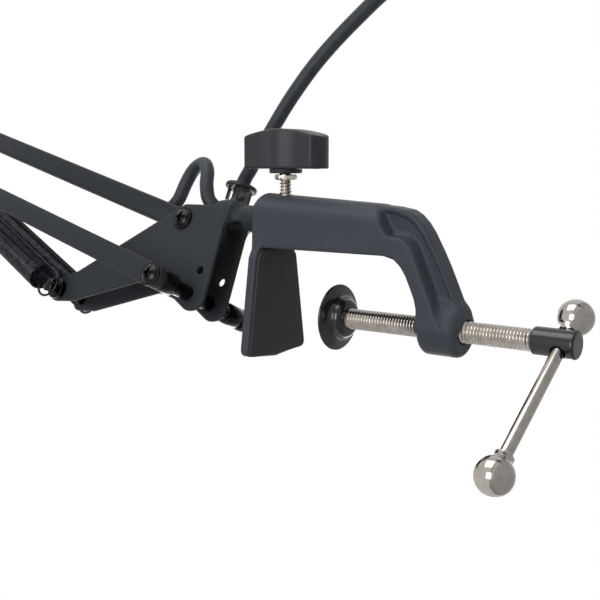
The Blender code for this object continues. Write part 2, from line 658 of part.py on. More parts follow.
def bolt(name, spot, half, skin=BLACK_STEEL):
    """A button-head bolt along the pins' direction, its head at the near end and its nut at the far end."""
    head = half + BOLT_HEAD_HEIGHT
    profile = [
        (0, head), (BOLT_HEAD_RADIUS * 0.62, head), (BOLT_HEAD_RADIUS, half + 0.8 * MM), (BOLT_HEAD_RADIUS, half),
        (PIN_RADIUS, half), (PIN_RADIUS, -half), (BOLT_HEAD_RADIUS - 0.2 * MM, -half),
        (BOLT_HEAD_RADIUS - 0.2 * MM, -head), (0, -head),
    ]
    return finish(turned(profile, 14), name, skin, ARM_FRAME @ at(spot) @ ACROSS)


def tube(name, spot, low, high, steps, skin=BLACK_STEEL):
    """A stepped tube round a pin: steps are (radius, where it ends), from the low end on."""
    inner = PIN_HOLE
    profile = [(inner, low)]
    start = low
    for radius, end in steps:
        profile += [(radius, start), (radius, end)]
        start = end
    profile += [(inner, high), (inner, low)]
    return finish(turned(profile[::-1], 14), name, skin, ARM_FRAME @ at(spot) @ ACROSS)


PLATE_HALF = PLATE_OUTER + FIT
BAR_HALF = SIDE_BAR_OUTER + FIT
BUSH_INNER = SIDE_BAR_OUTER - SIDE_BAR_THICK - FIT - BUSH_LENGTH
bolt("upper_pivot_bolt", UPPER_PIVOT, PLATE_HALF)
bolt("lower_pivot_bolt", LOWER_PIVOT, BAR_HALF)
for side_name, sign in (("near", 1), ("far", -1)):
    outer_end = SIDE_BAR_OUTER - SIDE_BAR_THICK - FIT
    if sign > 0:
        tube(f"pivot_bush_{side_name}", LOWER_PIVOT, PLATE_HALF, outer_end,
             [(TUBE_RADIUS, BUSH_INNER), (BUSH_RADIUS, outer_end)])
    else:
        tube(f"pivot_bush_{side_name}", LOWER_PIVOT, -outer_end, -PLATE_HALF,
             [(BUSH_RADIUS, -BUSH_INNER), (TUBE_RADIUS, -PLATE_HALF)])
spacer_half = PLATE_INNER - FIT
tube("pivot_spacer", LOWER_PIVOT, -spacer_half, spacer_half, [(TUBE_RADIUS, spacer_half)])


def spring_pin(name, spot):
    """The pin that the springs' loops hang on, with a collar beside each plate and a head at each end."""
    pin, collar_end = 2.0 * MM, PLATE_HALF + 2.6 * MM
    half = [(0, SPRING_PIN_HALF), (3.0 * MM, SPRING_PIN_HALF), (3.0 * MM, SPRING_PIN_HALF - 1.2 * MM),
            (pin, SPRING_PIN_HALF - 1.2 * MM), (pin, collar_end), (COLLAR_RADIUS, collar_end),
            (COLLAR_RADIUS, PLATE_HALF), (pin, PLATE_HALF)]
    profile = half + [(radius, -height) for radius, height in reversed(half)]
    return finish(turned(profile, 14), name, BLACK_STEEL, ARM_FRAME @ at(spot) @ ACROSS)


spring_pin("spring_pin_lower", SPRING_FOOT)

# One arm section: a centre bar, two side bars, two springs and the yoke that they pull on


def bar_outline(length, holes):
    """A bar along local Z from a pivot at zero, with round ends and pin holes."""
    half = BAR_HEIGHT / 2
    ends = [(-half, -BAR_OVERHANG, 2 * MM), (half, -BAR_OVERHANG, 2 * MM),
            (half, length + BAR_OVERHANG, 2 * MM), (-half, length + BAR_OVERHANG, 2 * MM)]
    return [rounded(ends, 3)] + [circle(0, z, radius, 12) for z, radius in holes]


def arm_section(name, lower, upper, angle, foot):
    holes = [(0, PIN_HOLE), (ARM_LENGTH, PIN_HOLE)]
    half = BAR_HEIGHT / 2
    centre = across(bar_outline(ARM_LENGTH, holes), -half, half)
    inside = half - CENTRE_BAR_WALL
    cut(centre, box((-inside, -inside, -20 * MM), (inside, inside, ARM_LENGTH + 20 * MM)))
    finish(centre, f"{name}_centre_bar", BLACK_PAINT, ARM_FRAME @ at(upper, angle))
    yoke_hole = [(SPRING_ANCHOR, PIN_HOLE)]
    for side_name, low in (("near", -SIDE_BAR_OUTER), ("far", SIDE_BAR_OUTER - SIDE_BAR_THICK)):
        side = across(bar_outline(ARM_LENGTH, holes + yoke_hole), low, low + SIDE_BAR_THICK)
        finish(side, f"{name}_bar_{side_name}", BLACK_PAINT, ARM_FRAME @ at(lower, angle))

    anchor = lower + SPRING_ANCHOR * lean(angle)
    pull = anchor - foot
    turn = math.atan2(pull.x, pull.z)
    end = pull.length - SPRING_END_GAP
    for side_name, side in (("near", -SPRING_SIDE), ("far", SPRING_SIDE)):
        place = ARM_FRAME @ at(foot, turn, side)
        bore = SPRING_RADIUS - SPRING_WIRE
        coil = turned([
            (bore, end), (SPRING_RADIUS, end), (SPRING_RADIUS, SPRING_START),
            (SPRING_WIRE, COLLAR_RADIUS + 0.6 * MM), (SPRING_WIRE, LOOP_RADIUS - SPRING_WIRE / 4),
            (0, LOOP_RADIUS - SPRING_WIRE / 4),
            (0, SPRING_START), (bore, SPRING_START + 2 * MM), (bore, end),
        ], 14)
        loop = turned([
            (LOOP_RADIUS + SPRING_WIRE / 2 * math.cos(t), SPRING_WIRE / 2 * math.sin(t))
            for t in (2 * math.pi * (k % 6) / 6 for k in range(7))
        ][::-1], 16)
        join(coil, moved(loop, ACROSS))
        finish(coil, f"{name}_spring_{side_name}", BLACK_STEEL, place)
        sleeve = SPRING_RADIUS + FIT
        sleeve_low = end - SLEEVE_LENGTH + 2 * MM
        finish(
            turned([(sleeve, end + 2 * MM), (sleeve + SLEEVE_WALL, end + 2 * MM), (sleeve + SLEEVE_WALL, sleeve_low),
                    (sleeve, sleeve_low), (sleeve, end + 2 * MM)], 14),
            f"{name}_sleeve_{side_name}", BLACK_PLASTIC, place,
        )
    rod = [(0, BAR_HALF + 1.6 * MM), (3.4 * MM, BAR_HALF + 1.6 * MM), (3.4 * MM, BAR_HALF), (PIN_RADIUS, BAR_HALF)]
    yoke = turned(rod + [(radius, -height) for radius, height in reversed(rod)], 14)
    moved(yoke, ACROSS)
    for side in (-SPRING_SIDE, SPRING_SIDE):
        eye = moved(turned([(0, 2 * MM), (PIN_RADIUS + 1.3 * MM, 2 * MM), (PIN_RADIUS + 1.3 * MM, -2 * MM),
                            (0, -2 * MM)], 14), Matrix.Translation((0, side, 0)) @ ACROSS)
        shank = moved(turned([(0, 0), (SHANK_RADIUS, 0), (SHANK_RADIUS, -SHANK_LENGTH), (0, -SHANK_LENGTH)], 8),
                      Matrix.Translation((0, side, -1 * MM)))
        join(yoke, eye, shank)
    finish(yoke, f"{name}_spring_yoke", BLACK_STEEL, ARM_FRAME @ at(anchor, turn))


arm_section("lower", LOWER_PIVOT, UPPER_PIVOT, LOWER_LEAN, SPRING_FOOT)

# Elbow bracket: two plates and a web, which both arm sections are pinned to

plates = two_plates(
    [
        around(ELBOW_LOWER, -7.6, -7.4, 6.5), around(ELBOW_LOWER, 6.0, -8.4, 5), around(ELBOW_UPPER, 9.6, -7.4, 7),
        around(SECOND_UPPER, 16.4, 4.0, 10), around(SECOND_FOOT, 7.4, -1.2, 5), around(SECOND_FOOT, -2.4, 7.4, 5),
        around(SECOND_LOWER, -7.0, 6.6, 6.5),
    ],
    [pivot_hole(ELBOW_LOWER), pivot_hole(ELBOW_UPPER), pivot_hole(SECOND_LOWER), pivot_hole(SECOND_UPPER),
     pivot_hole(SECOND_FOOT, 2.3 * MM)],
)
web_x = ELBOW_LOWER.x - 7.6 * MM
web = box((web_x, -PLATE_OUTER + 0.5 * MM, ELBOW_LOWER.z + 8 * MM),
          (web_x + PLATE_THICK, PLATE_OUTER - 0.5 * MM, SECOND_LOWER.z - 8 * MM))
finish(join(plates[0], web, plates[1]), "elbow_bracket", BLACK_COAT, ARM_FRAME)


def wide_shaft(name, spot):
    """A shaft that carries two side bars outside a bracket's plates, thick between them and threaded at its ends."""
    shoulder = SIDE_BAR_OUTER - SIDE_BAR_THICK - FIT
    head = BAR_HALF + BOLT_HEAD_HEIGHT
    half = [(0, head), (BOLT_HEAD_RADIUS, head), (BOLT_HEAD_RADIUS, BAR_HALF), (PIN_RADIUS, BAR_HALF),
            (PIN_RADIUS, shoulder), (BUSH_RADIUS, shoulder), (BUSH_RADIUS, BUSH_INNER), (TUBE_RADIUS, BUSH_INNER),
            (TUBE_RADIUS, PLATE_HALF), (PIN_RADIUS, PLATE_HALF)]
    profile = half + [(radius, -height) for radius, height in reversed(half)]
    return finish(turned(profile, 14), name, BLACK_STEEL, ARM_FRAME @ at(spot) @ ACROSS)


wide_shaft("elbow_shaft_lower", ELBOW_LOWER)
bolt("elbow_bolt_lower", ELBOW_UPPER, PLATE_HALF)
wide_shaft("elbow_shaft_upper", SECOND_LOWER)
bolt("elbow_bolt_upper", SECOND_UPPER, PLATE_HALF)
spring_pin("spring_pin_upper", SECOND_FOOT)
arm_section("upper", SECOND_LOWER, SECOND_UPPER, UPPER_LEAN, SECOND_FOOT)

# Head: a bracket that stays level, a tilting block and the microphone thread

plates = two_plates(
    [
        around(HEAD_LOWER, -8.0, 2.0, 6), around(HEAD_LOWER, -2.0, -8.6, 6), around(HEAD_UPPER, -4.0, -8.6, 6),
        around(HEAD_UPPER, 8.4, -6.0, 6), around(HEAD_TILT, 8.0, -6.4, 6), around(HEAD_TILT, 6.0, 7.6, 6),
        around(HEAD_LOWER, 2.0, 8.4, 7),
    ],
    [pivot_hole(HEAD_LOWER), pivot_hole(HEAD_UPPER), pivot_hole(HEAD_TILT)],
)
web = moved(
    box((-4 * MM, -PLATE_OUTER + 0.5 * MM, -1 * MM), (5 * MM, PLATE_OUTER - 0.5 * MM, 1 * MM)),
    at(HEAD_TILT + Vector((-18.5, 0, 5.0)) * MM, math.radians(-3)),
)
finish(join(plates[0], web, plates[1]), "head_bracket", BLACK_COAT, ARM_FRAME)
wide_shaft("head_shaft", HEAD_LOWER)
bolt("head_bolt", HEAD_UPPER, PLATE_HALF)
block_half = PLATE_INNER - FIT
block = moved(turned([(0, block_half), (TILT_BLOCK_RADIUS, block_half), (TILT_BLOCK_RADIUS, -block_half),
                      (0, -block_half)], 20), ACROSS)
join(block, turned([(0, STEM_HEIGHT), (4.6 * MM, STEM_HEIGHT), (4.6 * MM, 0), (0, 0)], 16))
cut(block, moved(turned([(0, 20 * MM), (PIN_HOLE, 20 * MM), (PIN_HOLE, -20 * MM), (0, -20 * MM)], 14), ACROSS))
finish(block, "tilt_block", BLACK_COAT, ARM_FRAME @ at(HEAD_TILT))
thread_base = STEM_HEIGHT + FIT + MIC_COLLAR_HEIGHT
finish(
    turned([
        (0, thread_base + MIC_THREAD_LENGTH), (MIC_THREAD_RADIUS - 0.8 * MM, thread_base + MIC_THREAD_LENGTH),
        (MIC_THREAD_RADIUS, thread_base + MIC_THREAD_LENGTH - 0.8 * MM), (MIC_THREAD_RADIUS, thread_base),
        (MIC_COLLAR_RADIUS, thread_base), (MIC_COLLAR_RADIUS, STEM_HEIGHT + FIT), (0, STEM_HEIGHT + FIT),
    ], 24),
    "mic_thread", ZINC, ARM_FRAME @ at(HEAD_TILT),
)
thumb = turned([
    (0, PLATE_HALF + 12 * MM), (7.0 * MM, PLATE_HALF + 12 * MM), (8.0 * MM, PLATE_HALF + 10.5 * MM),
    (8.0 * MM, PLATE_HALF + 3 * MM), (5.0 * MM, PLATE_HALF), (PIN_RADIUS, PLATE_HALF),
    (PIN_RADIUS, -PLATE_HALF), (4.0 * MM, -PLATE_HALF), (4.0 * MM, -PLATE_HALF - 3.4 * MM),
    (0, -PLATE_HALF - 3.4 * MM),
], 16)
finish(thumb, "tilt_thumbscrew", BLACK_PLASTIC, ARM_FRAME @ at(HEAD_TILT) @ ACROSS)

# Cable: tied along the far side of each centre bar, with a loop at each joint and a free tail

CABLE_SIDE = BAR_HEIGHT / 2 + CABLE_RADIUS + FIT


def spot(x, y, z):
    return Vector((x, y, z)) * MM


def beside(pivot, along, distance):
    """A point on the cable's line beside a centre bar, at a distance from the bar's pivot."""
    place = pivot + along * distance
    return Vector((place.x, CABLE_SIDE, place.z))


TIE_SPOTS = (("foot", 190 * MM), ("top", ARM_LENGTH - 62 * MM))
LOOP_END = 44 * MM
BUTT = FIT / 2
cord("cable_base_loop", [
    beside(UPPER_PIVOT, LOWER_ALONG, LOOP_END - BUTT), beside(UPPER_PIVOT, LOWER_ALONG, 36 * MM),
    spot(4.8, 8.6, 72.4), spot(9.8, 8.1, 67.2), spot(16.6, 5.6, 63.2), spot(23.6, 2.6, 60.0),
    spot(26.8, 0.4, 56.4), spot(25.2, -0.6, 52.6), spot(20.2, -0.6, 50.8), spot(14.6, 0.2, 50.4),
    spot(9.9, 2.2, 48.9), spot(7.3, 5.2, 45.8), spot(6.5, 8.4, 42.0), spot(7.6, 10.8, 38.6), spot(10.2, 11.8, 36.8),
    CLIP_SPOT - Vector((CLIP_BODY - 1 * MM, 0, 0)), CLIP_SPOT - Vector((BUTT, 0, 0)),
], CABLE_RADIUS, CABLE_PVC, ARM_FRAME, 0.0045)
for name, pivot, along in (("lower", UPPER_PIVOT, LOWER_ALONG), ("upper", SECOND_UPPER, UPPER_ALONG)):
    ends = [beside(pivot, along, LOOP_END + BUTT), beside(pivot, along, ARM_LENGTH - LOOP_END - BUTT)]
    cord(f"cable_{name}_run", ends, CABLE_RADIUS, CABLE_PVC, ARM_FRAME, 0.03)
    angle = math.atan2(along.x, along.z)
    for end_name, distance in TIE_SPOTS:
        gap = BAR_HEIGHT / 2 + FIT
        far = CABLE_SIDE + CABLE_RADIUS + FIT
        wall = TIE_WALL
        ring = slab([
            rounded([(-gap - wall, -gap - wall, 1 * MM), (gap + wall, -gap - wall, 1 * MM),
                     (gap + wall, gap + wall, 2 * MM), (CABLE_RADIUS, far + wall, 2 * MM),
                     (-CABLE_RADIUS, far + wall, 2 * MM), (-gap - wall, gap + wall, 2 * MM)]),
            rounded([(-gap, -gap, 0), (gap, -gap, 0), (gap, gap, 0), (CABLE_RADIUS + FIT, far, 1 * MM),
                     (-CABLE_RADIUS - FIT, far, 1 * MM), (-gap, gap, 0)]),
        ], -TIE_WIDTH / 2, TIE_WIDTH / 2)
        middle = pivot + along * distance
        finish(ring, f"cable_tie_{name}_{end_name}", BLACK_PLASTIC, ARM_FRAME @ at(middle, angle))
elbow_exit = beside(ELBOW_UPPER, LOWER_ALONG, -LOOP_END + BUTT)
elbow_entry = beside(SECOND_UPPER, UPPER_ALONG, LOOP_END - BUTT)
cord("cable_elbow_loop", [
    elbow_exit, elbow_exit + 8 * MM * LOWER_ALONG, elbow_exit + Vector((15, 0.8, 22)) * MM,
    elbow_exit + Vector((29, 2, 38)) * MM, elbow_exit + Vector((34, 2, 56)) * MM,
    elbow_entry + Vector((-13, 0.8, -14)) * MM, elbow_entry - 8 * MM * UPPER_ALONG, elbow_entry,
], CABLE_RADIUS, CABLE_PVC, ARM_FRAME, 0.01)
head_exit = beside(HEAD_UPPER, UPPER_ALONG, -LOOP_END + BUTT)
mic_end = head_exit + Vector((44, 8, -104)) * MM
cord("cable_head_drop", [
    head_exit, head_exit + 8 * MM * UPPER_ALONG, head_exit + Vector((19, 1.2, 4)) * MM,
    head_exit + Vector((32, 3.5, -4)) * MM, head_exit + Vector((40, 6, -22)) * MM,
    head_exit + Vector((43.4, 7.6, -50)) * MM, head_exit + Vector((44, 8, -80)) * MM, mic_end,
], CABLE_RADIUS, CABLE_PVC, ARM_FRAME, 0.012)


def connector(name, top, place):
    """A cable connector that hangs from its cable: a tapered strain relief and a barrel."""
    sleeve = CABLE_RADIUS + 1.0 * MM
    profile = [
        (0, -FIT), (sleeve, -FIT), (sleeve + 1.6 * MM, -14 * MM), (CONNECTOR_RADIUS - 1.5 * MM, -20 * MM),
        (CONNECTOR_RADIUS - 0.4 * MM, -24 * MM), (CONNECTOR_RADIUS, -34 * MM), (CONNECTOR_RADIUS, -CONNECTOR_LENGTH),
        (0, -CONNECTOR_LENGTH),
    ]
    return finish(turned(profile, 18), name, NICKEL, place @ Matrix.Translation(top))


connector("mic_connector", mic_end, ARM_FRAME)

# Free tail: out of the clip behind the post, over the table's edge and down to a tied coil

clip_bore = CABLE_RADIUS + CLIP_CLEARANCE
clip_body = clip_bore + CLIP_WALL
clip_place = Matrix.Translation(CLIP_SPOT) @ TO_X
clip = moved(
    turned([(0, CLIP_FLANGE), (CLIP_RADIUS, CLIP_FLANGE), (CLIP_RADIUS, 0), (clip_body, 0),
            (clip_body, -CLIP_BODY), (0, -CLIP_BODY)], 18),
    clip_place,
)
foot_low, foot_high = PLATE_OUTER + FIT, PLATE_OUTER + FIT + 1.6 * MM
leg_x = CLIP_SPOT.x - CLIP_BODY
join(
    clip,
    box((-3 * MM, foot_low, PLATE_FOOT_Z + 2 * MM), (PLATE_FRONT_X, foot_high, PLATE_FOOT_Z + 9.7 * MM)),
    box((-1 * MM, foot_low, PLATE_FOOT_Z + 7.2 * MM), (leg_x + 3.6 * MM, foot_high, PLATE_FOOT_Z + 9.7 * MM)),
    box((leg_x + 1 * MM, foot_low, PLATE_FOOT_Z + 8 * MM), (leg_x + 3.6 * MM, foot_high, CLIP_SPOT.z - 2 * MM)),
)
cut(clip, moved(turned([(0, 12 * MM), (clip_bore, 12 * MM), (clip_bore, -12 * MM), (0, -12 * MM)], 18), clip_place))
finish(clip, "cable_clip", BLACK_PLASTIC, ARM_FRAME)

COIL_CENTRE = spot(185.0, 33.0, -152.0)
coil_reach = COIL_MEAN_RADIUS + COIL_THICK / 2 + FIT
entry_rise = math.sqrt(coil_reach**2 - (COIL_MEAN_RADIUS + COIL_LAY - CABLE_RADIUS) ** 2)
hang_x = COIL_CENTRE.x - COIL_MEAN_RADIUS - COIL_LAY
cord("cable_tail", [
    ARM_FRAME @ (CLIP_SPOT + Vector((BUTT, 0, 0))), ARM_FRAME @ (CLIP_SPOT + Vector((CLIP_FLANGE, 0, 0))),
    spot(53.4, 20.4, 35.2), spot(56.9, 20.2, 32.2), spot(63.4, 20.5, 28.1), spot(74.5, 21.5, 20.6),
    spot(88.2, 24.0, 11.5), spot(102.5, 27.0, 0.0), spot(117.0, 30.0, -15.5), spot(131.0, 32.0, -35.0),
    spot(140.4, 33.0, -59.0), spot(143.6, 33.0, -84.0), spot(143.8, 33.0, -108.0),
    Vector((hang_x, 33 * MM, COIL_CENTRE.z + entry_rise)),
], CABLE_RADIUS, CABLE_PVC, WORLD, 0.011)
coil = turned([
    (COIL_MEAN_RADIUS + COIL_THICK / 2 * math.cos(t), COIL_THICK / 2 * math.sin(t))
    for t in (2 * math.pi * (k % 8) / 8 for k in range(9))
][::-1], 28)
finish(coil, "cable_coil", CABLE_PVC, Matrix.Translation(COIL_CENTRE) @ ACROSS)
exit_x = COIL_CENTRE.x - COIL_MEAN_RADIUS - 0.62 * COIL_LAY
exit_drop = math.sqrt((coil_reach - 1.8 * MM) ** 2 - (COIL_CENTRE.x - exit_x - CABLE_RADIUS - 1 * MM) ** 2)
connector("line_connector", Vector((exit_x, COIL_CENTRE.y + 0.78 * COIL_LAY, COIL_CENTRE.z - exit_drop)), WORLD)

for cutter in CUTTERS.objects:
    cutter.hide_render = True
    cutter.display_type = "WIRE"
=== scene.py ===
# %% [markdown]
# # A microphone boom stand, dressed round its CAD model
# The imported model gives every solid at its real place, in metres, and the named bodies that its joints move.
# This script keeps those places and builds the visible surfaces round them: castings with soft edges, cut
# threads, wound springs, a cable. Each piece is then told which body it rides on.

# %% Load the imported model
import math

import bmesh
import bpy
import numpy as np
from mathutils import Matrix, Vector


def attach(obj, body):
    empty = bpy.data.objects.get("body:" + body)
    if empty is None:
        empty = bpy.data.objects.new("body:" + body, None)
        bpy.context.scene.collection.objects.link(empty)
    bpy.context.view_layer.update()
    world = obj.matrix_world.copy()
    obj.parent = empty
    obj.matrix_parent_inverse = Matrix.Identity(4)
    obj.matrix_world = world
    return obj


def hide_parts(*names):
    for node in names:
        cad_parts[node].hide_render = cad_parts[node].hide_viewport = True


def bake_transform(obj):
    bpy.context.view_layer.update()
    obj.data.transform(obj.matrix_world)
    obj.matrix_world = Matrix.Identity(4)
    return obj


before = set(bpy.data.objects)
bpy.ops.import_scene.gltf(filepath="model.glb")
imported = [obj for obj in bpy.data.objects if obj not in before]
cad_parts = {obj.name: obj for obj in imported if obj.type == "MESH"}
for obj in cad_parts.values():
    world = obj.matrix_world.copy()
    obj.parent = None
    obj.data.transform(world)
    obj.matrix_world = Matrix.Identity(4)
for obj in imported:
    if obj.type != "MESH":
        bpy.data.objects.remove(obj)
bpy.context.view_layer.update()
MM = 0.001

# %% [markdown]
# ## Two frames of reference
# The clamp is drawn in the row frame. Everything above it swivels on the clamp's post, so it is drawn in the
# arm frame, whose origin is on the post's axis, whose X is the way the arms lean and whose Y runs along the
# pivot pins. Working in the arm frame keeps a plate or a pin straight while it is drawn. A matrix could be
# set on each object instead, but a finished piece has to sit at the origin with its place in its mesh, so
# the points themselves are carried over.

# %% Places of the arm frame and its pivots, in millimetres
POST_X = 36.9
SWIVEL = math.radians(25.4)
ROW = np.eye(4)
ARM = np.array(Matrix.Translation((POST_X, 0, 0)) @ Matrix.Rotation(SWIVEL, 4, "Z"))
ACROSS = np.array(Matrix.Rotation(math.radians(90), 4, "X"))
TO_X = np.array(Matrix.Rotation(math.radians(90), 4, "Y"))


def shifted(x, y, z):
    """The matrix that moves a point by x, y and z."""
    return np.array(Matrix.Translation((x, y, z)))


def turned(angle, axis):
    """The matrix that turns a point about an axis through the origin."""
    return np.array(Matrix.Rotation(angle, 4, axis))


def carried(points, place):
    """Points through a 4 by 4 matrix: each becomes rotation times point plus shift."""
    return np.asarray(points, float) @ place[:3, :3].T + place[:3, 3]


def lean(angle):
    """The unit vector in the arm's plane that leans by this angle from the vertical."""
    return np.array([math.sin(angle), 0.0, math.cos(angle)])


ARM_LENGTH = 350.0
LOWER_LEAN = math.radians(14.4)
UPPER_LEAN = math.radians(66.0)
UPPER_OFFSET = np.array([32.5, 0.0, 15.4])
LOWER_PIVOT = np.array([-36.8, 0.0, 29.5])
UPPER_PIVOT = LOWER_PIVOT + UPPER_OFFSET
ELBOW_LOWER = LOWER_PIVOT + ARM_LENGTH * lean(LOWER_LEAN)
ELBOW_UPPER = UPPER_PIVOT + ARM_LENGTH * lean(LOWER_LEAN)
SECOND_LOWER = ELBOW_LOWER + np.array([-5.2, 0.0, 56.5])
SECOND_UPPER = carried(UPPER_OFFSET, turned(UPPER_LEAN - LOWER_LEAN, "Y")) + SECOND_LOWER
HEAD_LOWER = SECOND_LOWER + ARM_LENGTH * lean(UPPER_LEAN)
HEAD_UPPER = SECOND_UPPER + ARM_LENGTH * lean(UPPER_LEAN)
HEAD_TILT = HEAD_LOWER + np.array([52.0, 0.0, 6.0])
SPRING_REACH = 80.0
SPRING_LAG = math.radians(18.06)
LOWER_FOOT = LOWER_PIVOT + SPRING_REACH * lean(LOWER_LEAN - SPRING_LAG)
UPPER_FOOT = SECOND_LOWER + SPRING_REACH * lean(UPPER_LEAN - SPRING_LAG)
print("elbow", ELBOW_LOWER.round(1), "head", HEAD_LOWER.round(1))

# %% [markdown]
# ## Turning arrays into meshes
# Every surface here is worked out as an array of points. A grid of points, rows along the piece and columns
# round it, becomes quads by joining each point to its neighbours. Blender's primitives could stand in for
# some of them, but a grid takes any profile and keeps its rows where the edges are.

# %% From points and faces to an object
MERGED_WITHIN = 2e-6
SHORTEST_EDGE = 1e-7


def built(name, points, faces, place, sharp=32):
    """A mesh object from points in millimetres and lists of faces. Its place is in its mesh, its faces point
    outward, and an edge that bends by more than sharp degrees stays crisp."""
    mesh = bpy.data.meshes.new(name)
    mesh.from_pydata(carried(points, place) * MM, [], faces)
    work = bmesh.new()
    work.from_mesh(mesh)
    bmesh.ops.remove_doubles(work, verts=work.verts, dist=MERGED_WITHIN)
    bmesh.ops.dissolve_degenerate(work, edges=work.edges, dist=SHORTEST_EDGE)
    bmesh.ops.recalc_face_normals(work, faces=work.faces)
    work.to_mesh(mesh)
    work.free()
    mesh.shade_smooth()
    mesh.set_sharp_from_angle(angle=math.radians(sharp))
    made = bpy.data.objects.new(name, mesh)
    bpy.context.scene.collection.objects.link(made)
    return made


def grid_faces(rows, columns, closed=True):
    """The quads of a grid, numbered row by row; closed joins the last column to the first."""
    row = np.arange(rows - 1)[:, None] * columns
    column = np.arange(columns if closed else columns - 1)[None, :]
    beside = (column + 1) % columns
    quads = np.stack([row + column, row + beside, row + columns + beside, row + columns + column], axis=-1)
    return quads.reshape(-1, 4)


def capped(grid):
    """Points and faces of a closed skin: a (rows, columns, 3) grid whose two end rings are filled by fans."""
    rows, columns = grid.shape[:2]
    points = np.concatenate([grid.reshape(-1, 3), grid[0].mean(0)[None], grid[-1].mean(0)[None]])
    ring = np.arange(columns)
    beside = (ring + 1) % columns
    first = np.stack([beside, ring, np.full(columns, rows * columns)], axis=-1)
    last_row = (rows - 1) * columns
    last = np.stack([last_row + ring, last_row + beside, np.full(columns, rows * columns + 1)], axis=-1)
    return points, grid_faces(rows, columns).tolist() + first.tolist() + last.tolist()


def together(*shells):
    """Several (points, faces) shells as one, the later ones numbered on."""
    points, faces, count = [], [], 0
    for shell_points, shell_faces in shells:
        points.append(shell_points)
        faces += [[corner + count for corner in face] for face in shell_faces]
        count += len(shell_points)
    return np.concatenate(points), faces


def placed(shell, place):
    """A (points, faces) shell carried to a place."""
    return carried(shell[0], place), shell[1]


# %% [markdown]
# ## Castings as distance formulas
# A casting has no sharp corner anywhere: every edge is rounded, and every inside corner is filled. Booleans
# and bevels leave creases where such walls meet. Here the solid is a formula instead, the distance from a
# point to the surface, negative inside. Two formulas are welded with a round fillet between them, and a skin
# is drawn where the result is zero.

# %% Distance formulas
def rounded(corners, steps=6):
    """An outline from (x, z, radius) corners: each becomes an arc of its radius that touches both sides."""
    corners = np.asarray(corners, float)
    here = corners[:, :2]
    before = np.roll(here, 1, axis=0) - here
    after = np.roll(here, -1, axis=0) - here
    before /= np.linalg.norm(before, axis=1, keepdims=True)
    after /= np.linalg.norm(after, axis=1, keepdims=True)
    half = np.arccos(np.clip((before * after).sum(axis=1), -1, 1)) / 2
    half = np.maximum(half, 1e-3)
    inward = before + after
    inward /= np.maximum(np.linalg.norm(inward, axis=1, keepdims=True), 1e-9)
    middle = here + inward * (corners[:, 2] / np.sin(half))[:, None]
    start = here + before * (corners[:, 2] / np.tan(half))[:, None] - middle
    end = here + after * (corners[:, 2] / np.tan(half))[:, None] - middle
    first = np.arctan2(start[:, 1], start[:, 0])
    sweep = (np.arctan2(end[:, 1], end[:, 0]) - first + math.pi) % (2 * math.pi) - math.pi
    angle = first[:, None] + sweep[:, None] * np.linspace(0, 1, steps + 1)
    arcs = middle[:, None] + corners[:, 2, None, None] * np.stack([np.cos(angle), np.sin(angle)], axis=-1)
    return arcs.reshape(-1, 2)


def outline_distance(x, z, outline):
    """The distance to a closed outline: to the nearest of its edges, and negative where a ray to one side
    crosses the outline an odd number of times."""
    start = np.asarray(outline, float)
    step = np.roll(start, -1, axis=0) - start
    start = start[(step**2).sum(axis=1) > 1e-12]
    step = np.roll(start, -1, axis=0) - start
    x, z = np.broadcast_arrays(x, z)
    dx = x[..., None] - start[:, 0]
    dz = z[..., None] - start[:, 1]
    along = np.clip((dx * step[:, 0] + dz * step[:, 1]) / (step**2).sum(axis=1), 0, 1)
    nearest = np.hypot(dx - along * step[:, 0], dz - along * step[:, 1]).min(axis=-1)
    spans = (dz >= 0) != (dz >= step[:, 1])
    crossed = spans & ((dx * step[:, 1] - dz * step[:, 0]) * np.sign(step[:, 1]) < 0)
    return np.where(crossed.sum(axis=-1) % 2 == 1, -nearest, nearest)


def weld(a, b, fillet):
    """Two solids as one, with a fillet f between them: max(f, min(a, b)) less the length of
    (max(f - a, 0), max(f - b, 0))."""
    inner = np.hypot(np.maximum(fillet - a, 0), np.maximum(fillet - b, 0))
    return np.maximum(fillet, np.minimum(a, b)) - inner


def shared(a, b, edge):
    """What two solids share, with its new edge rounded: the weld of their outsides, turned inside out."""
    return -weld(-a, -b, edge)


def carved(a, b, edge):
    """One solid less another."""
    return shared(a, -b, edge)


def thick(flat, across, half, edge):
    """A flat shape given a thickness: shared with the layer that reaches half to each side."""
    return shared(flat, np.abs(across) - half, edge)


def rod(u, v, radius):
    """The distance to an endless round rod."""
    return np.hypot(u, v) - radius


# %% [markdown]
# The skin is found on a lattice. Every cell that the surface passes through gets one point, at the middle of
# the places where it cuts the cell's edges, and every cut edge gets one face between the four cells round
# it. A few steps along the slope of the formula then bring each point exactly on to the surface.

# %% The skin of a distance formula
CELL_EDGES = [
    (corner, corner + step)
    for step in np.eye(3, dtype=int) for corner in np.ndindex(2, 2, 2) if not (corner * step).any()
]
PROBE = 0.02
LEAST_SLOPE = 0.05
SETTLING_STEPS = 3


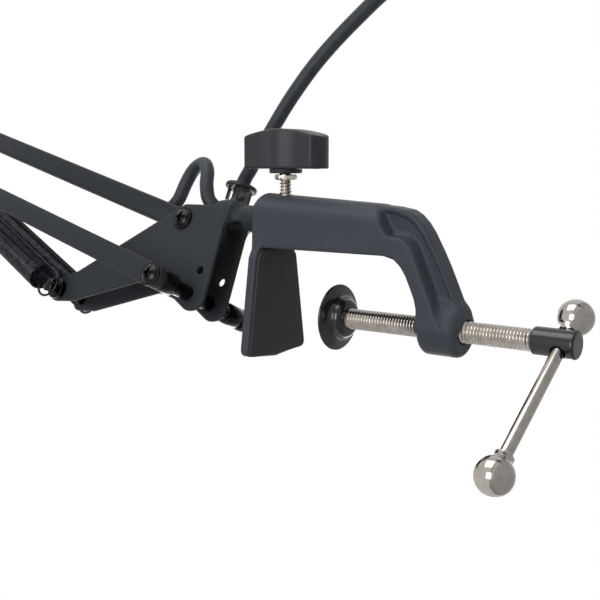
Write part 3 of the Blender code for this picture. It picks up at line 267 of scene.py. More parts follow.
def skin(field, low, high, step):
    """Points and quads where field(x, y, z) is zero, between two corners of a box round the whole solid."""
    axes = [np.arange(start, end + step, step) for start, end in zip(low, high)]
    values = field(axes[0][:, None, None], axes[1][None, :, None], axes[2][None, None, :])
    values = np.broadcast_to(values, [len(axis) for axis in axes])
    inside = values < 0
    size = np.array(inside.shape) - 1
    blocks = [inside[i:i + size[0], j:j + size[1], k:k + size[2]] for i, j, k in np.ndindex(2, 2, 2)]
    count = np.sum(blocks, axis=0)
    cells = np.argwhere((count > 0) & (count < 8))
    number = np.full(size, -1)
    number[tuple(cells.T)] = np.arange(len(cells))
    total = np.zeros((len(cells), 3))
    cuts = np.zeros((len(cells), 1))
    for first, second in CELL_EDGES:
        first, second = np.array(first), np.array(second)
        a = values[tuple((cells + first).T)]
        b = values[tuple((cells + second).T)]
        cut = ((a < 0) != (b < 0))[:, None]
        part = (a / np.where(a == b, 1, a - b))[:, None]
        total += np.where(cut, first + part * (second - first), 0)
        cuts += cut
    origin = np.array([axis[0] for axis in axes])
    points = origin + (cells + total / cuts) * step
    faces = []
    for axis in range(3):
        u, v = np.eye(3, dtype=int)[(axis + 1) % 3], np.eye(3, dtype=int)[(axis + 2) % 3]
        edges = np.argwhere(np.diff(inside, axis=axis))
        ring = [number[tuple((edges - corner).T)] for corner in (0 * u, u, u + v, v)]
        faces.append(np.stack(ring, axis=-1))
    for _ in range(SETTLING_STEPS):
        slope = np.stack([
            field(*(points + shift).T) - field(*(points - shift).T) for shift in np.eye(3) * PROBE
        ], axis=-1) / (2 * PROBE)
        steep = np.maximum((slope**2).sum(axis=1), LEAST_SLOPE)
        move = np.clip(field(*points.T) / steep, -step, step)
        points = points - move[:, None] * slope
    return points, np.concatenate(faces).tolist()


def dress(made, skin_material, slot, body, *nodes):
    """Gives a piece its material, its body if it has one, and hides the solids that it stands for.
    The slot is not used."""
    made.data.materials.append(skin_material)
    if body:
        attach(made, body)
    if nodes:
        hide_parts(*nodes)
    print(made.name, len(made.data.polygons), "faces")
    return made


# %% [markdown]
# ## Materials start from a few helpers
# Colours are written as the hex values a screen shows, so one function turns them to the linear values that
# a shader works in. Another adds a node with its settings and links. A third lets a colour wander a little
# with a noise, as no real finish is one flat tone.

# %% Colour and node helpers
def linear(colour):
    """A hex colour as linear RGBA: c/12.92 below 0.04045, and ((c + 0.055) / 1.055) to the 2.4 above it."""
    parts = np.array([int(colour[i:i + 2], 16) for i in (1, 3, 5)]) / 255
    return (*np.where(parts <= 0.04045, parts / 12.92, ((parts + 0.055) / 1.055) ** 2.4), 1.0)


def add(tree, kind, inputs=(), **settings):
    """Adds a node: settings are its own properties, and inputs pairs a socket with a value or with a link."""
    made = tree.nodes.new(kind)
    for setting, value in settings.items():
        setattr(made, setting, value)
    for socket, value in dict(inputs).items():
        if isinstance(value, bpy.types.NodeSocket):
            tree.links.new(value, made.inputs[socket])
        else:
            made.inputs[socket].default_value = value
    return made


def new_material(name, colour, roughness, metallic=0.0, **sockets):
    """A material with a plain Principled shader, and its tree and shader, ready for a pattern."""
    made = bpy.data.materials.new(name)
    made.use_nodes = True
    tree = made.node_tree
    shader = tree.nodes["Principled BSDF"]
    shader.inputs["Base Color"].default_value = linear(colour)
    shader.inputs["Roughness"].default_value = roughness
    shader.inputs["Metallic"].default_value = metallic
    for socket, value in sockets.items():
        shader.inputs[socket.replace("_", " ")].default_value = value
    return made, tree, shader


def wandering(tree, shader, colour, noise, spread):
    """Lets a base colour wander by a share of itself to both sides, with a noise."""
    shade = add(tree, "ShaderNodeMapRange", {"Value": noise.outputs["Fac"], "To Min": 1 - spread,
                                             "To Max": 1 + spread})
    tone = add(tree, "ShaderNodeVectorMath", {0: linear(colour)[:3], "Scale": shade.outputs["Result"]},
               operation="SCALE")
    tree.links.new(tone.outputs["Vector"], shader.inputs["Base Color"])


# %% [markdown]
# ## The camera stands where the photographer stood
# The picture was taken from below the clamp and in front of it, with the camera turned on its side, so that
# the arms run off to the left. The direction of view and the picture's up are written as two vectors, and
# the third follows from them.

# %% Camera
CAMERA_SPOT = (0.0591, -0.3032, -0.2472)
FOCAL_LENGTH = 57.68
SENSOR_WIDTH = 36.0
VIEW = Vector((-0.139, 0.7815, 0.6083)).normalized()
PICTURE_RIGHT = VIEW.cross(Vector((0.9903, 0.1097, 0.0854))).normalized()
PICTURE_UP = PICTURE_RIGHT.cross(VIEW)
camera_data = bpy.data.cameras.new("photo_camera")
camera_data.sensor_width = SENSOR_WIDTH
camera_data.lens = FOCAL_LENGTH
camera_data.clip_start = 0.01
camera = bpy.data.objects.new("photo_camera", camera_data)
camera.matrix_world = (
    Matrix.Translation(CAMERA_SPOT)
    @ Matrix((PICTURE_RIGHT, PICTURE_UP, -VIEW)).transposed().to_4x4()
)
bpy.context.scene.collection.objects.link(camera)
bpy.context.scene.camera = camera
print("camera looks", round(math.degrees(math.asin(VIEW.z)), 1), "degrees up")

# %% [markdown]
# ## The cable
# A microphone cable is one flexible length of PVC. Here it leaves the clip behind the post and hangs to a
# tied coil; above the clip it makes a loop to the lower arm, and it is tied along both arms to the
# microphone. It could be a Blender curve with a bevel; here it is a tube of points. The routes repeat the
# CAD model's points.

# %% Routes and tubes
CABLE_RADIUS = 3.1
BAR_WIDTH = 9.4
CABLE_SIDE = BAR_WIDTH / 2 + CABLE_RADIUS + 0.3
LOOP_END = 44.0
STEPS_PER_POINT = 40


def smooth_route(points, spacing):
    """Even points on a smooth curve: straight end legs, and between them, through each four points in turn,
    half of 2b + (c - a)t + (2a - 5b + 4c - d)t2 + (3b - a - 3c + d)t3."""
    points = np.asarray(points, float)
    a, b, c, d = (points[k:len(points) - 3 + k, None] for k in range(4))
    t = np.linspace(0, 1, STEPS_PER_POINT, endpoint=False)[None, :, None]
    fine = 0.5 * (2 * b + (c - a) * t + (2 * a - 5 * b + 4 * c - d) * t**2 + (3 * b - a - 3 * c + d) * t**3)
    fine = np.concatenate([points[:1], fine.reshape(-1, 3), points[-2:]])
    return evenly(fine, spacing)


def evenly(line, spacing):
    """A line's points at even steps of its own length."""
    walked = np.concatenate([[0], np.cumsum(np.linalg.norm(np.diff(line, axis=0), axis=1))])
    steps = np.linspace(0, walked[-1], max(2, round(walked[-1] / spacing)) + 1)
    return np.stack([np.interp(steps, walked, line[:, k]) for k in range(3)], axis=-1)


def length_of(line):
    """The sum of a line's steps."""
    return float(np.linalg.norm(np.diff(line, axis=0), axis=1).sum())


def tube(line, radius, columns=20, side=(0, 1, 0)):
    """A closed tube: line + radius (cos a u + sin a v), where u and v are square to the line at each point.
    The radius may be one number or one for each point."""
    along = np.gradient(line, axis=0)
    along /= np.linalg.norm(along, axis=1, keepdims=True)
    u = np.asarray(side, float) - (along @ np.asarray(side, float))[:, None] * along
    u /= np.linalg.norm(u, axis=1, keepdims=True)
    v = np.cross(along, u)
    angle = np.linspace(0, 2 * math.pi, columns, endpoint=False)[None, :, None]
    radius = np.broadcast_to(np.asarray(radius, float), len(line))[:, None, None]
    return capped(line[:, None] + radius * (np.cos(angle) * u[:, None] + np.sin(angle) * v[:, None]))


def beside(pivot, angle, distance):
    """A point on the cable's line along the far side of a centre bar."""
    return pivot + lean(angle) * distance + np.array([0, CABLE_SIDE, 0])


def swung(profile, columns):
    """A grid of rings about Z: each (radius, height) of a profile becomes radius (cos a, sin a), height."""
    radius, height = np.asarray(profile, float).T
    turn = np.arange(columns) / columns * 2 * math.pi
    return np.stack([radius[:, None] * np.cos(turn), radius[:, None] * np.sin(turn),
                     np.broadcast_to(height[:, None], (len(radius), columns))], axis=-1)


def lathe(profile, columns=48):
    """A closed solid of revolution: a profile swung round Z, with both its ends filled."""
    return capped(swung(profile, columns))


def ring(profile, columns=36):
    """A closed ring: a profile swung round Z whose last row meets its first."""
    grid = swung([*profile, profile[0]], columns)
    return grid.reshape(-1, 3), grid_faces(len(grid), columns).tolist()


def both_ways(half):
    """A whole profile from its upper half: the same rows again below, turned over."""
    return half + [(radius, -height) for radius, height in reversed(half)]


# %% [markdown]
# The jacket is black PVC, pressed round the cores while soft, which leaves a satin skin with a faint
# cloudiness. Nothing is printed on it here.

# %% Cable jacket
cable_jacket, tree, shader = new_material("extruded_pvc_jacket", "#34373d", 0.42, Specular_IOR_Level=0.2)
spot = add(tree, "ShaderNodeTexCoord").outputs["Object"]
waves = add(tree, "ShaderNodeTexNoise", {"Vector": spot, "Scale": 260.0, "Detail": 3.0})
fine = add(tree, "ShaderNodeTexNoise", {"Vector": spot, "Scale": 2200.0, "Detail": 2.0})
tone = add(tree, "ShaderNodeValToRGB", {"Fac": waves.outputs["Fac"]})
tone.color_ramp.elements[0].color = linear("#2b2e34")
tone.color_ramp.elements[1].color = linear("#3c4047")
tree.links.new(tone.outputs["Color"], shader.inputs["Base Color"])
bump = add(tree, "ShaderNodeBump", {"Height": fine.outputs["Fac"], "Strength": 0.25, "Distance": 0.0001})
tree.links.new(bump.outputs["Normal"], shader.inputs["Normal"])
print("made", cable_jacket.name)

# %% Fixed runs along the two arms
CLIP_SPOT = np.array([18.1, 12.0, 36.5])
CLIP_BODY = 6.0
CLIP_FLANGE = 1.8


def cable(name, line, place, body, *nodes):
    """A length of cable along a line, with the jacket on it."""
    return dress(built(name, *tube(line, CABLE_RADIUS), place, 60), cable_jacket, "cable_pvc", body, *nodes)


def declare(made, line, place, far_end, lay, **more):
    """Prints how long a piece of cable is, along the line that it follows; where it leaves is not used."""
    print(made.name, round(length_of(line), 1), "mm long")


for arm, pivot, angle in (("lower", UPPER_PIVOT, LOWER_LEAN), ("upper", SECOND_UPPER, UPPER_LEAN)):
    run = np.stack([beside(pivot, angle, LOOP_END), beside(pivot, angle, ARM_LENGTH - LOOP_END)])
    cable(f"cable_along_{arm}_arm", evenly(run, 6.0), ARM, f"{arm}_centre", f"cable_{arm}_run")

# %% [markdown]
# Where the cable crosses a joint it is left slack in a loop. Each loop starts on one body and ends on
# another; it is drawn where it lies and is given to neither body.

# %% Loops that cross the joints
base_loop = smooth_route([
    beside(UPPER_PIVOT, LOWER_LEAN, LOOP_END), beside(UPPER_PIVOT, LOWER_LEAN, 37.0),
    (5.8, 8.4, 74.0), (10.6, 8.6, 69.4), (18.6, 8.1, 67.3), (24.6, 7.0, 64.2), (27.3, 5.3, 59.1),
    (26.5, 3.5, 53.9), (22.2, 2.3, 49.9), (15.8, 1.9, 47.6), (9.4, 3.2, 44.8), (6.6, 6.9, 40.9),
    (8.6, 10.4, 37.9), CLIP_SPOT - (CLIP_BODY - 1, 0, 0), CLIP_SPOT,
], 1.2)
made = cable("cable_loop_at_base", base_loop, ARM, None, "cable_base_loop")
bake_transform(made)
declare(made, base_loop, ARM, "object", "loose")

elbow_exit = beside(ELBOW_UPPER, LOWER_LEAN, -LOOP_END)
elbow_entry = beside(SECOND_UPPER, UPPER_LEAN, LOOP_END)
elbow_loop = smooth_route([
    elbow_exit, elbow_exit + 8 * lean(LOWER_LEAN), elbow_exit + (15, 0.8, 22), elbow_exit + (29, 2, 38),
    elbow_exit + (34, 2, 56), elbow_entry + (-13, 0.8, -14), elbow_entry - 8 * lean(UPPER_LEAN), elbow_entry,
], 1.6)
middle = len(elbow_loop) // 2
elbow_halves = (
    ("cable_loop_at_elbow_low", elbow_loop[:middle + 1], "lower_centre", "elbow", ["cable_elbow_loop"]),
    ("cable_loop_at_elbow_high", elbow_loop[middle:], "elbow", "upper_centre", []),
)
for name, line, first, second, nodes in elbow_halves:
    made = cable(name, line, ARM, None, *nodes)
    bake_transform(made)
    declare(made, line, ARM, "object", "loose")

# %% [markdown]
# ## Connectors
# The cable ends in a three-pin audio connector: a die-cast shell, nickel plated, with a rubber sleeve that
# keeps the cable from kinking. It is a solid of revolution, so a profile turned about its axis is the plain
# way to it.

# %% Connector shapes
connector_shell_profile = [
    (0, -20.4), (7.4, -20.4), (8.0, -20.9), (8.3, -21.8), (9.1, -24.5), (9.2, -25.2), (9.2, -30.6),
    (8.9, -31.0), (8.9, -31.7), (9.5, -32.2), (9.5, -60.9), (9.2, -61.6), (8.6, -62.0), (7.9, -62.0),
    (7.9, -52.0), (0, -52.0),
]
SLEEVE_RIBS = 7
RIB_SPACING = 2.6
RIB_GROWTH = 0.34
sleeve_profile = [(0, -0.4), (3.9, -0.4), (4.3, -0.9)]
for rib in range(SLEEVE_RIBS):
    top = -1.6 - RIB_SPACING * rib
    wide = 4.4 + RIB_GROWTH * rib
    sleeve_profile += [
        (wide, top), (wide + 0.1, top - 1.5), (wide - 0.55, top - 1.7), (wide - 0.5, top - 2.4),
    ]
sleeve_profile += [(7.3, -19.8), (7.3, -20.6), (0, -20.6)]


def mottled(name, colour, roughness, metallic, grain, depth, **sockets):
    """A material whose tone wanders with a coarse noise and whose skin and gloss follow a fine one."""
    made, tree, shader = new_material(name, colour, roughness, metallic, **sockets)
    spot = add(tree, "ShaderNodeTexCoord").outputs["Object"]
    flow = add(tree, "ShaderNodeTexNoise", {"Vector": spot, "Scale": 130.0, "Detail": 3.0})
    fine = add(tree, "ShaderNodeTexNoise", {"Vector": spot, "Scale": grain, "Detail": 2.0})
    wandering(tree, shader, colour, flow, 0.1)
    gloss = add(tree, "ShaderNodeMapRange", {"Value": fine.outputs["Fac"], "To Min": roughness - 0.06,
                                             "To Max": roughness + 0.06})
    bump = add(tree, "ShaderNodeBump", {"Height": fine.outputs["Fac"], "Strength": 0.3, "Distance": depth})
    tree.links.new(gloss.outputs["Result"], shader.inputs["Roughness"])
    tree.links.new(bump.outputs["Normal"], shader.inputs["Normal"])
    return made


connector_shell = mottled("nickel_plated_die_cast_shell", "#b9b3aa", 0.24, 1.0, 1800.0, 0.00003)
connector_rubber = mottled("moulded_rubber_sleeve", "#26272a", 0.6, 0.0, 1500.0, 0.0001)
moulded_nylon = mottled("moulded_glass_filled_nylon", "#292c30", 0.4, 0.0, 2400.0, 0.00006,
                        Specular_IOR_Level=0.25)


def connector(name, node_name, top, place, body):
    """A connector that hangs below a point on the cable: its shell and, riding with it, its sleeve."""
    spot_there = place @ shifted(*top)
    shell = built(name, *lathe(connector_shell_profile, 56), spot_there)
    sleeve = built(f"{name}_sleeve", *lathe(sleeve_profile, 40), spot_there)
    return [dress(shell, connector_shell, "nickel", body, node_name),
            dress(sleeve, connector_rubber, "black_plastic", body)]


# %% The drop to the microphone
head_exit = beside(HEAD_UPPER, UPPER_LEAN, -LOOP_END)
mic_end = head_exit + (44, 8, -104)
head_drop = smooth_route([
    head_exit, head_exit + 8 * lean(UPPER_LEAN), head_exit + (19, 1.2, 4), head_exit + (32, 3.5, -4),
    head_exit + (40, 6, -22), head_exit + (43.4, 7.6, -50), head_exit + (44, 8, -80), mic_end,
], 1.8)
mic_pieces = connector("mic_plug", "mic_connector", mic_end, ARM, "upper_centre")
made = cable("cable_drop_to_mic", head_drop, ARM, "upper_centre", "cable_head_drop")
declare(made, head_drop, ARM, "connector", "hanging", with_pieces=mic_pieces)

# %% [markdown]
# ## The free tail and its coil
# About 1.5 m of cable is free at the clamp. The picture shows only its first hand's width, so the rest hangs
# to a coil held by two straps. In the bundle the turns sit side by side on a small ring, and each pass moves
# on by one place, as strands do in a rope, so the cable never has to cross through itself.

# %% Tail and coil
COIL_CENTRE = np.array([185.0, 33.0, -152.0])
COIL_RADIUS = 34.0
STRAND_SPACING = 6.3
PASSES = 7
TURNS = 6
POINTS_PER_TURN = 150
LAY_RADIUS = STRAND_SPACING / (2 * math.sin(math.pi / PASSES))
turn = np.linspace(0, 1, TURNS * POINTS_PER_TURN + 1)
round_coil = math.pi + 2 * math.pi * TURNS * turn
round_bundle = 2 * math.pi * TURNS / PASSES * turn
reach = COIL_RADIUS + LAY_RADIUS * np.cos(round_bundle)
coil_line = COIL_CENTRE + np.stack([
    reach * np.cos(round_coil), -LAY_RADIUS * np.sin(round_bundle), reach * np.sin(round_coil)
], axis=-1)
tail_route = smooth_route([
    carried(CLIP_SPOT, ARM), carried(CLIP_SPOT + (CLIP_FLANGE, 0, 0), ARM), (53.4, 20.4, 35.2),
    (56.9, 20.2, 32.2), (63.4, 20.5, 28.1), (74.5, 21.5, 20.6), (88.2, 24.0, 11.5), (102.5, 27.0, 0.0),
    (117.0, 30.0, -15.5), (131.0, 32.0, -35.0), (140.4, 33.0, -59.0), (143.6, 33.0, -84.0),
    (143.8, 33.0, -108.0), coil_line[0] + (0, 0, 14), coil_line[0] + (0, 0, 1.5),
], 2.4)
away = coil_line[-1]
lead_out = smooth_route([
    away + (0, 0, -1.5), away + (0, 0.1, -3), away + (-0.3, 0.9, -10), away + (-0.3, 0.9, -17),
    away + (0, 0.1, -22), away + (0, 0, -25.6),
], 2.4)
tail_line = evenly(np.concatenate([tail_route, coil_line, lead_out]), 2.2)
tail_pieces = connector("line_plug", "line_connector", tail_line[-1], ROW, "base")
strap = ring([(10.5, -2.4), (11.4, -2.4), (11.6, -2.2), (11.6, 2.2), (11.4, 2.4), (10.5, 2.4)], 48)
for name, angle in (("upper", math.radians(50)), ("lower", math.radians(-50))):
    middle = COIL_CENTRE + COIL_RADIUS * np.array([math.cos(angle), 0.0, math.sin(angle)])
    made = built(f"coil_strap_{name}", *strap, shifted(*middle) @ turned(-angle, "Y"), 40)
    tail_pieces.append(dress(made, moulded_nylon, "black_plastic", "base"))
made = cable("cable_tail_and_coil", tail_line, ROW, "base", "cable_tail", "cable_coil")
declare(made, tail_line, ROW, "connector", "hanging", with_pieces=tail_pieces)

# %% [markdown]
# ## Powder-coated castings
# The clamp and the brackets are cast, then coated with black powder that is baked on. The coat is satin and
# slightly dimpled like an orange's peel, about a millimetre from dimple to dimple, with a fine grain over
# it. So the gloss and the skin follow a noise of that size, and a much wider one lets the tone wander.

# %% Powder coat
def powder_coat(name, colour, roughness):
    """A baked powder coat: its tone wanders, and its gloss and skin follow dimples with a fine grain over."""
    made, tree, shader = new_material(name, colour, roughness, Specular_IOR_Level=0.12)
    spot = add(tree, "ShaderNodeTexCoord").outputs["Object"]
    dimples = add(tree, "ShaderNodeTexNoise", {"Vector": spot, "Scale": 900.0, "Detail": 2.0})
    grain = add(tree, "ShaderNodeTexNoise", {"Vector": spot, "Scale": 4200.0, "Detail": 2.0})
    cloud = add(tree, "ShaderNodeTexNoise", {"Vector": spot, "Scale": 90.0, "Detail": 3.0})
    wandering(tree, shader, colour, cloud, 0.07)
    gloss = add(tree, "ShaderNodeMapRange", {"Value": dimples.outputs["Fac"], "To Min": roughness - 0.06,
                                             "To Max": roughness + 0.06})
    tree.links.new(gloss.outputs["Result"], shader.inputs["Roughness"])
    dimpled = add(tree, "ShaderNodeBump", {"Height": dimples.outputs["Fac"], "Strength": 0.35,
                                           "Distance": 0.00012})
    grained = add(tree, "ShaderNodeBump", {"Height": grain.outputs["Fac"], "Strength": 0.3,
                                           "Distance": 0.00004, "Normal": dimpled.outputs["Normal"]})
    tree.links.new(grained.outputs["Normal"], shader.inputs["Normal"])
    return made


clamp_coat = powder_coat("black_powder_coat_on_casting", "#3f4349", 0.46)
bracket_coat = powder_coat("black_powder_coat_on_plates", "#2e3135", 0.44)

# %% [markdown]
# ## The clamp
# One casting: a block that takes the post, a jaw plate that flares to its tip, and an arm that bends down to
# the boss of the screw. The arm has a wide flange on the throat's side and a thin web behind it, with a
# raised rim. From behind, the block is a rounded crown.

# %% Clamp casting
BLOCK_HALF = 10.5
CROWN_RADIUS = 12.65
CROWN_HEIGHTS = [-57.4, -49.0, -33.0, -7.0, 6.0]
CROWN_REACH = [44.2, 44.8, 45.9, 47.3, 48.0]
WEB_HALF = 4.2
RECESS_FLOOR = 3.3
BOSS_RADIUS = 9.6
BOSS_MIDDLE = -78.0
BOSS_HALF = 7.7
JAW_MIDDLE = 3.15
JAW_HALF = 2.05
SCREW_BORE = 4.4
SCREW_BORE_TOP = -60.0
POST_BORE = 5.95
POST_BORE_LOW = -20.3
LOCK_HEIGHT = -4.0
LOCK_BORE = 2.8
throat_line = [
    (26.3, 5.2), (26.3, -57.0), (25.2, -61.5), (22.7, -64.5), (19.4, -66.7), (14.7, -68.9), (11.4, -70.3),
    (8.0, -71.1), (0, -71.1),
]
flange_line = [
    (0, -82.0), (6.1, -79.1), (13.4, -75.9), (20.3, -72.9), (27.3, -69.8), (29.7, -68.6), (31.9, -66.7),
    (33.1, -64.3), (33.4, -61.3), (33.6, -58.6),
]
block_line = [(37.2, -55.9), (41.0, -53.9), (43.2, -52.6), (49.0, -48.0), (50.0, 5.2)]
arm_line = [
    (0, -87.0), (5.5, -86.4), (10.4, -84.0), (15.9, -81.5), (22.4, -78.5), (28.4, -75.4), (35.0, -71.6),
    (38.6, -68.9), (41.2, -66.1), (42.9, -63.2), (43.9, -57.4), (44.4, -51.0), (44.8, -40.0), (30.0, -40.0),
]
recess_line = [
    (34.6, -56.6), (35.0, -61.0), (33.9, -64.6), (31.6, -67.2), (28.0, -69.0), (21.7, -71.9), (16.7, -74.3),
    (12.4, -76.3), (11.0, -82.4), (20.9, -77.8), (28.2, -73.7), (33.3, -70.6), (37.3, -67.5), (40.0, -63.7),
    (41.6, -58.5), (42.3, -52.2),
]
jaw_line = rounded([
    (34.0, -10.1, 0), (26.9, -10.4, 1), (22.5, -13.0, 5), (-17.2, -18.7, 3), (-19.2, 0, 0), (-17.2, 18.7, 3),
    (22.5, 13.0, 5), (26.9, 10.4, 1), (34.0, 10.1, 0),
])


def clamp_field(x, y, z):
    """The clamp casting: block and flange, welded to the web, boss and jaw, less the bores."""
    walls = thick(outline_distance(x, z, throat_line + flange_line + block_line), y, BLOCK_HALF, 0.9)
    behind = np.maximum(x - np.interp(z, CROWN_HEIGHTS, CROWN_REACH) + CROWN_RADIUS, 0)
    walls = shared(walls, rod(behind, y, CROWN_RADIUS), 1.0)
    web = thick(outline_distance(x, z, throat_line + arm_line), y, WEB_HALF, 1.3)
    recess = shared(outline_distance(x, z, recess_line), RECESS_FLOOR - np.abs(y), 0.6)
    body = weld(walls, carved(web, recess, 0.7), 1.1)
    body = weld(body, shared(rod(x, y, BOSS_RADIUS), np.abs(z - BOSS_MIDDLE) - BOSS_HALF, 2.6), 2.4)
    body = weld(body, shared(outline_distance(x, y, jaw_line), np.abs(z - JAW_MIDDLE) - JAW_HALF, 0.8), 1.2)
    body = carved(body, shared(rod(x, y, SCREW_BORE), z - SCREW_BORE_TOP, 0.1), 0.5)
    body = carved(body, shared(rod(x - POST_X, y, POST_BORE), POST_BORE_LOW - z, 0.1), 0.5)
    return carved(body, shared(rod(z - LOCK_HEIGHT, y, LOCK_BORE), POST_X - x, 0.1), 0.3)


clamp = built("clamp_casting", *skin(clamp_field, (-22, -20.5, -89), (50, 20.5, 7), 0.62), ROW, 70)
dress(clamp, clamp_coat, "powder_coat", "clamp", "clamp_frame")

# %% [markdown]
# ## Rubber liner
# A thin sheet of black rubber is glued inside the jaw, so that it doesn't mark the table. It is a flat sheet
# with a soft edge; its surface is matte, with the fine pebble of the mould.

# %% Jaw liner
liner_rubber, tree, shader = new_material("moulded_jaw_rubber", "#27272a", 0.72)
spot = add(tree, "ShaderNodeTexCoord").outputs["Object"]
pebble = add(tree, "ShaderNodeTexVoronoi", {"Vector": spot, "Scale": 1500.0})
rub = add(tree, "ShaderNodeTexNoise", {"Vector": spot, "Scale": 160.0, "Detail": 4.0})
wandering(tree, shader, "#27272a", rub, 0.15)
bump = add(tree, "ShaderNodeBump", {"Height": pebble.outputs["Distance"], "Strength": 0.35,
                                    "Distance": 0.0001})
tree.links.new(bump.outputs["Normal"], shader.inputs["Normal"])

LINER_HALF = 0.55
liner_line = rounded([
    (25.7, -9.6, 2.4), (22.3, -12.1, 4), (-17.2, -17.8, 2.4), (-18.2, 0, 0), (-17.2, 17.8, 2.4),
    (22.3, 12.1, 4), (25.7, 9.6, 2.4),
])


def liner_field(x, y, z):
    """The liner: its outline shared with a layer from the jaw down to its face."""
    return shared(outline_distance(x, y, liner_line), np.abs(z - LINER_HALF) - LINER_HALF, 0.35)


liner = built("jaw_rubber_liner", *skin(liner_field, (-20, -20, -0.8), (28, 20, 2.0), 0.4), ROW, 70)
dress(liner, liner_rubber, "jaw_rubber", "clamp", "jaw_liner")

# %% [markdown]
# ## Threads
# A thread is one ridge wound round a rod. If the rows of a grid climb by one pitch in each turn, as the
# ridge does, then the ridge lies along the grid's own lines and stays crisp with few points. Here the grid
# is closed by joining each row's end to the start of the row one pitch further on.

# %% A threaded rod
def threaded(pitch, root, crest, low, high, columns=40):
    """Points and faces of a threaded rod. A row starts at height z and climbs by a pitch per turn. Its radius
    is root + (crest - root) times a ridge with narrow flats, which fades out at both ends of the rod."""
    ridge = np.array([0.0, 0.1, 0.75, 1.0, 0.85, 0.15])
    per_pitch = len(ridge)
    turns = int(math.ceil((high - low) / pitch)) + 2
    row = np.arange(-per_pitch, turns * per_pitch)
    turn = np.arange(columns) / columns
    height = low + pitch * (row[:, None] / per_pitch + turn[None, :])
    fade = np.clip(np.minimum(height - low, high - height) / pitch / 0.8, 0, 1)
    fade = fade * fade * (3 - 2 * fade)
    radius = root + (crest - root) * ridge[row % per_pitch][:, None] * fade
    angle = 2 * math.pi * turn[None, :]
    points = np.stack([radius * np.cos(angle), radius * np.sin(angle), np.clip(height, low, high)], axis=-1)
    count = len(row)
    start = np.arange(count - 1)[:, None] * columns + np.arange(columns - 1)[None, :]
    quads = np.stack([start, start + 1, start + columns + 1, start + columns], axis=-1).reshape(-1, 4)
    last = np.arange(count - 1 - per_pitch) * columns + columns - 1
    first = (np.arange(count - 1 - per_pitch) + per_pitch) * columns
    seam = np.stack([last, first, first + columns, last + columns], axis=-1)
    ends = [list(range(columns)), list(range((count - 1) * columns, count * columns))]
    return points.reshape(-1, 3), quads.tolist() + seam.tolist() + ends


# %% [markdown]
# The rods are steel with a bright zinc plate: a slightly warm, soft mirror, clouded by oil and handling. The
# clouds are a noise between two tones. The roots of the thread need no colour of their own, because less
# light reaches them.

# %% Plated steel
def plated(name, bright, dark, roughness, metallic=1.0):
    """A plated or oiled steel: clouds between two tones, and fine scratches that move its gloss."""
    made, tree, shader = new_material(name, bright, roughness, metallic)
    spot = add(tree, "ShaderNodeTexCoord").outputs["Object"]
    cloud = add(tree, "ShaderNodeTexNoise", {"Vector": spot, "Scale": 350.0, "Detail": 4.0})
    tone = add(tree, "ShaderNodeValToRGB", {"Fac": cloud.outputs["Fac"]})
    for stop, place, colour in zip(tone.color_ramp.elements, (0.35, 0.6), (dark, bright)):
        stop.position = place
        stop.color = linear(colour)
    scratch = add(tree, "ShaderNodeTexNoise", {"Vector": spot, "Scale": 2600.0, "Detail": 3.0})
    gloss = add(tree, "ShaderNodeMapRange", {"Value": scratch.outputs["Fac"], "To Min": roughness - 0.05,
                                             "To Max": roughness + 0.08})
    bump = add(tree, "ShaderNodeBump", {"Height": scratch.outputs["Fac"], "Strength": 0.12,
                                        "Distance": 0.00003})
    tree.links.new(tone.outputs["Color"], shader.inputs["Base Color"])
    tree.links.new(gloss.outputs["Result"], shader.inputs["Roughness"])
    tree.links.new(bump.outputs["Normal"], shader.inputs["Normal"])
    return made


zinc_plate = plated("bright_zinc_plated_steel", "#cdc6be", "#b9b1a8", 0.2)
nickel_plate = plated("polished_nickel_plate", "#aea8a1", "#a39d96", 0.1)
black_oxide = plated("oiled_black_oxide_steel", "#1f1f22", "#161618", 0.2, 0.85)
black_enamel = plated("glossy_black_enamel", "#17181b", "#131417", 0.16, 0.0)

# %% Clamp screw
CLAMP_PITCH = 1.25
CLAMP_ROOT = 3.4
CLAMP_CREST = 4.0
SCREW_LOW = -112.0
SCREW_TOP = -32.8
thread = threaded(CLAMP_PITCH, CLAMP_ROOT, CLAMP_CREST, SCREW_LOW, SCREW_TOP)
screw = built("clamp_screw_rod", *thread, ROW, 50)
dress(screw, zinc_plate, "zinc_steel", "screw", "clamp_screw")

# %% [markdown]
# ## Swivel pad, cap and handle
# These are turned on a lathe, so each is a profile swung round an axis. The pad is a pressed steel saucer on
# a ball; the handle bar slides through a hole in the cap, between two screwed-on balls.

# %% Turned pieces of the screw
def arc(middle, height, radius, start, end, steps=10):
    """Points on a circle in a profile, between two angles in degrees from the outward direction."""
    angle = np.radians(np.linspace(start, end, steps + 1))
    return np.stack([middle + radius * np.cos(angle), height + radius * np.sin(angle)], axis=-1).tolist()


pad_profile = [
    (0, -29.6), *arc(12.4, -30.2, 0.6, 90, -90, 6), (9.2, -31.4), (8.4, -32.2), (8.0, -33.3),
    *arc(5.0, -33.4, 2.8, 0, -70, 6), (5.2, -36.2), (4.15, -36.2), (4.15, -32.9), (0, -32.9),
]
pad = built("pad_saucer", *lathe(pad_profile, 72), ROW, 40)
dress(pad, black_enamel, "black_steel", "pad", "swivel_pad")

HANDLE_TURN = math.radians(55.4 - 90)
HANDLE_HEIGHT = -122.3
HANDLE_HOLE = 2.6
HANDLE = shifted(0, 0, HANDLE_HEIGHT) @ turned(HANDLE_TURN, "Z") @ turned(-math.pi / 2, "X")
BALL_RADIUS = 6.5
FAR_BALL = 12.9
NEAR_BALL = FAR_BALL - 71.3
CAP_RADIUS = 5.0
CAP_MIDDLE = -120.0
CAP_HALF = 7.8


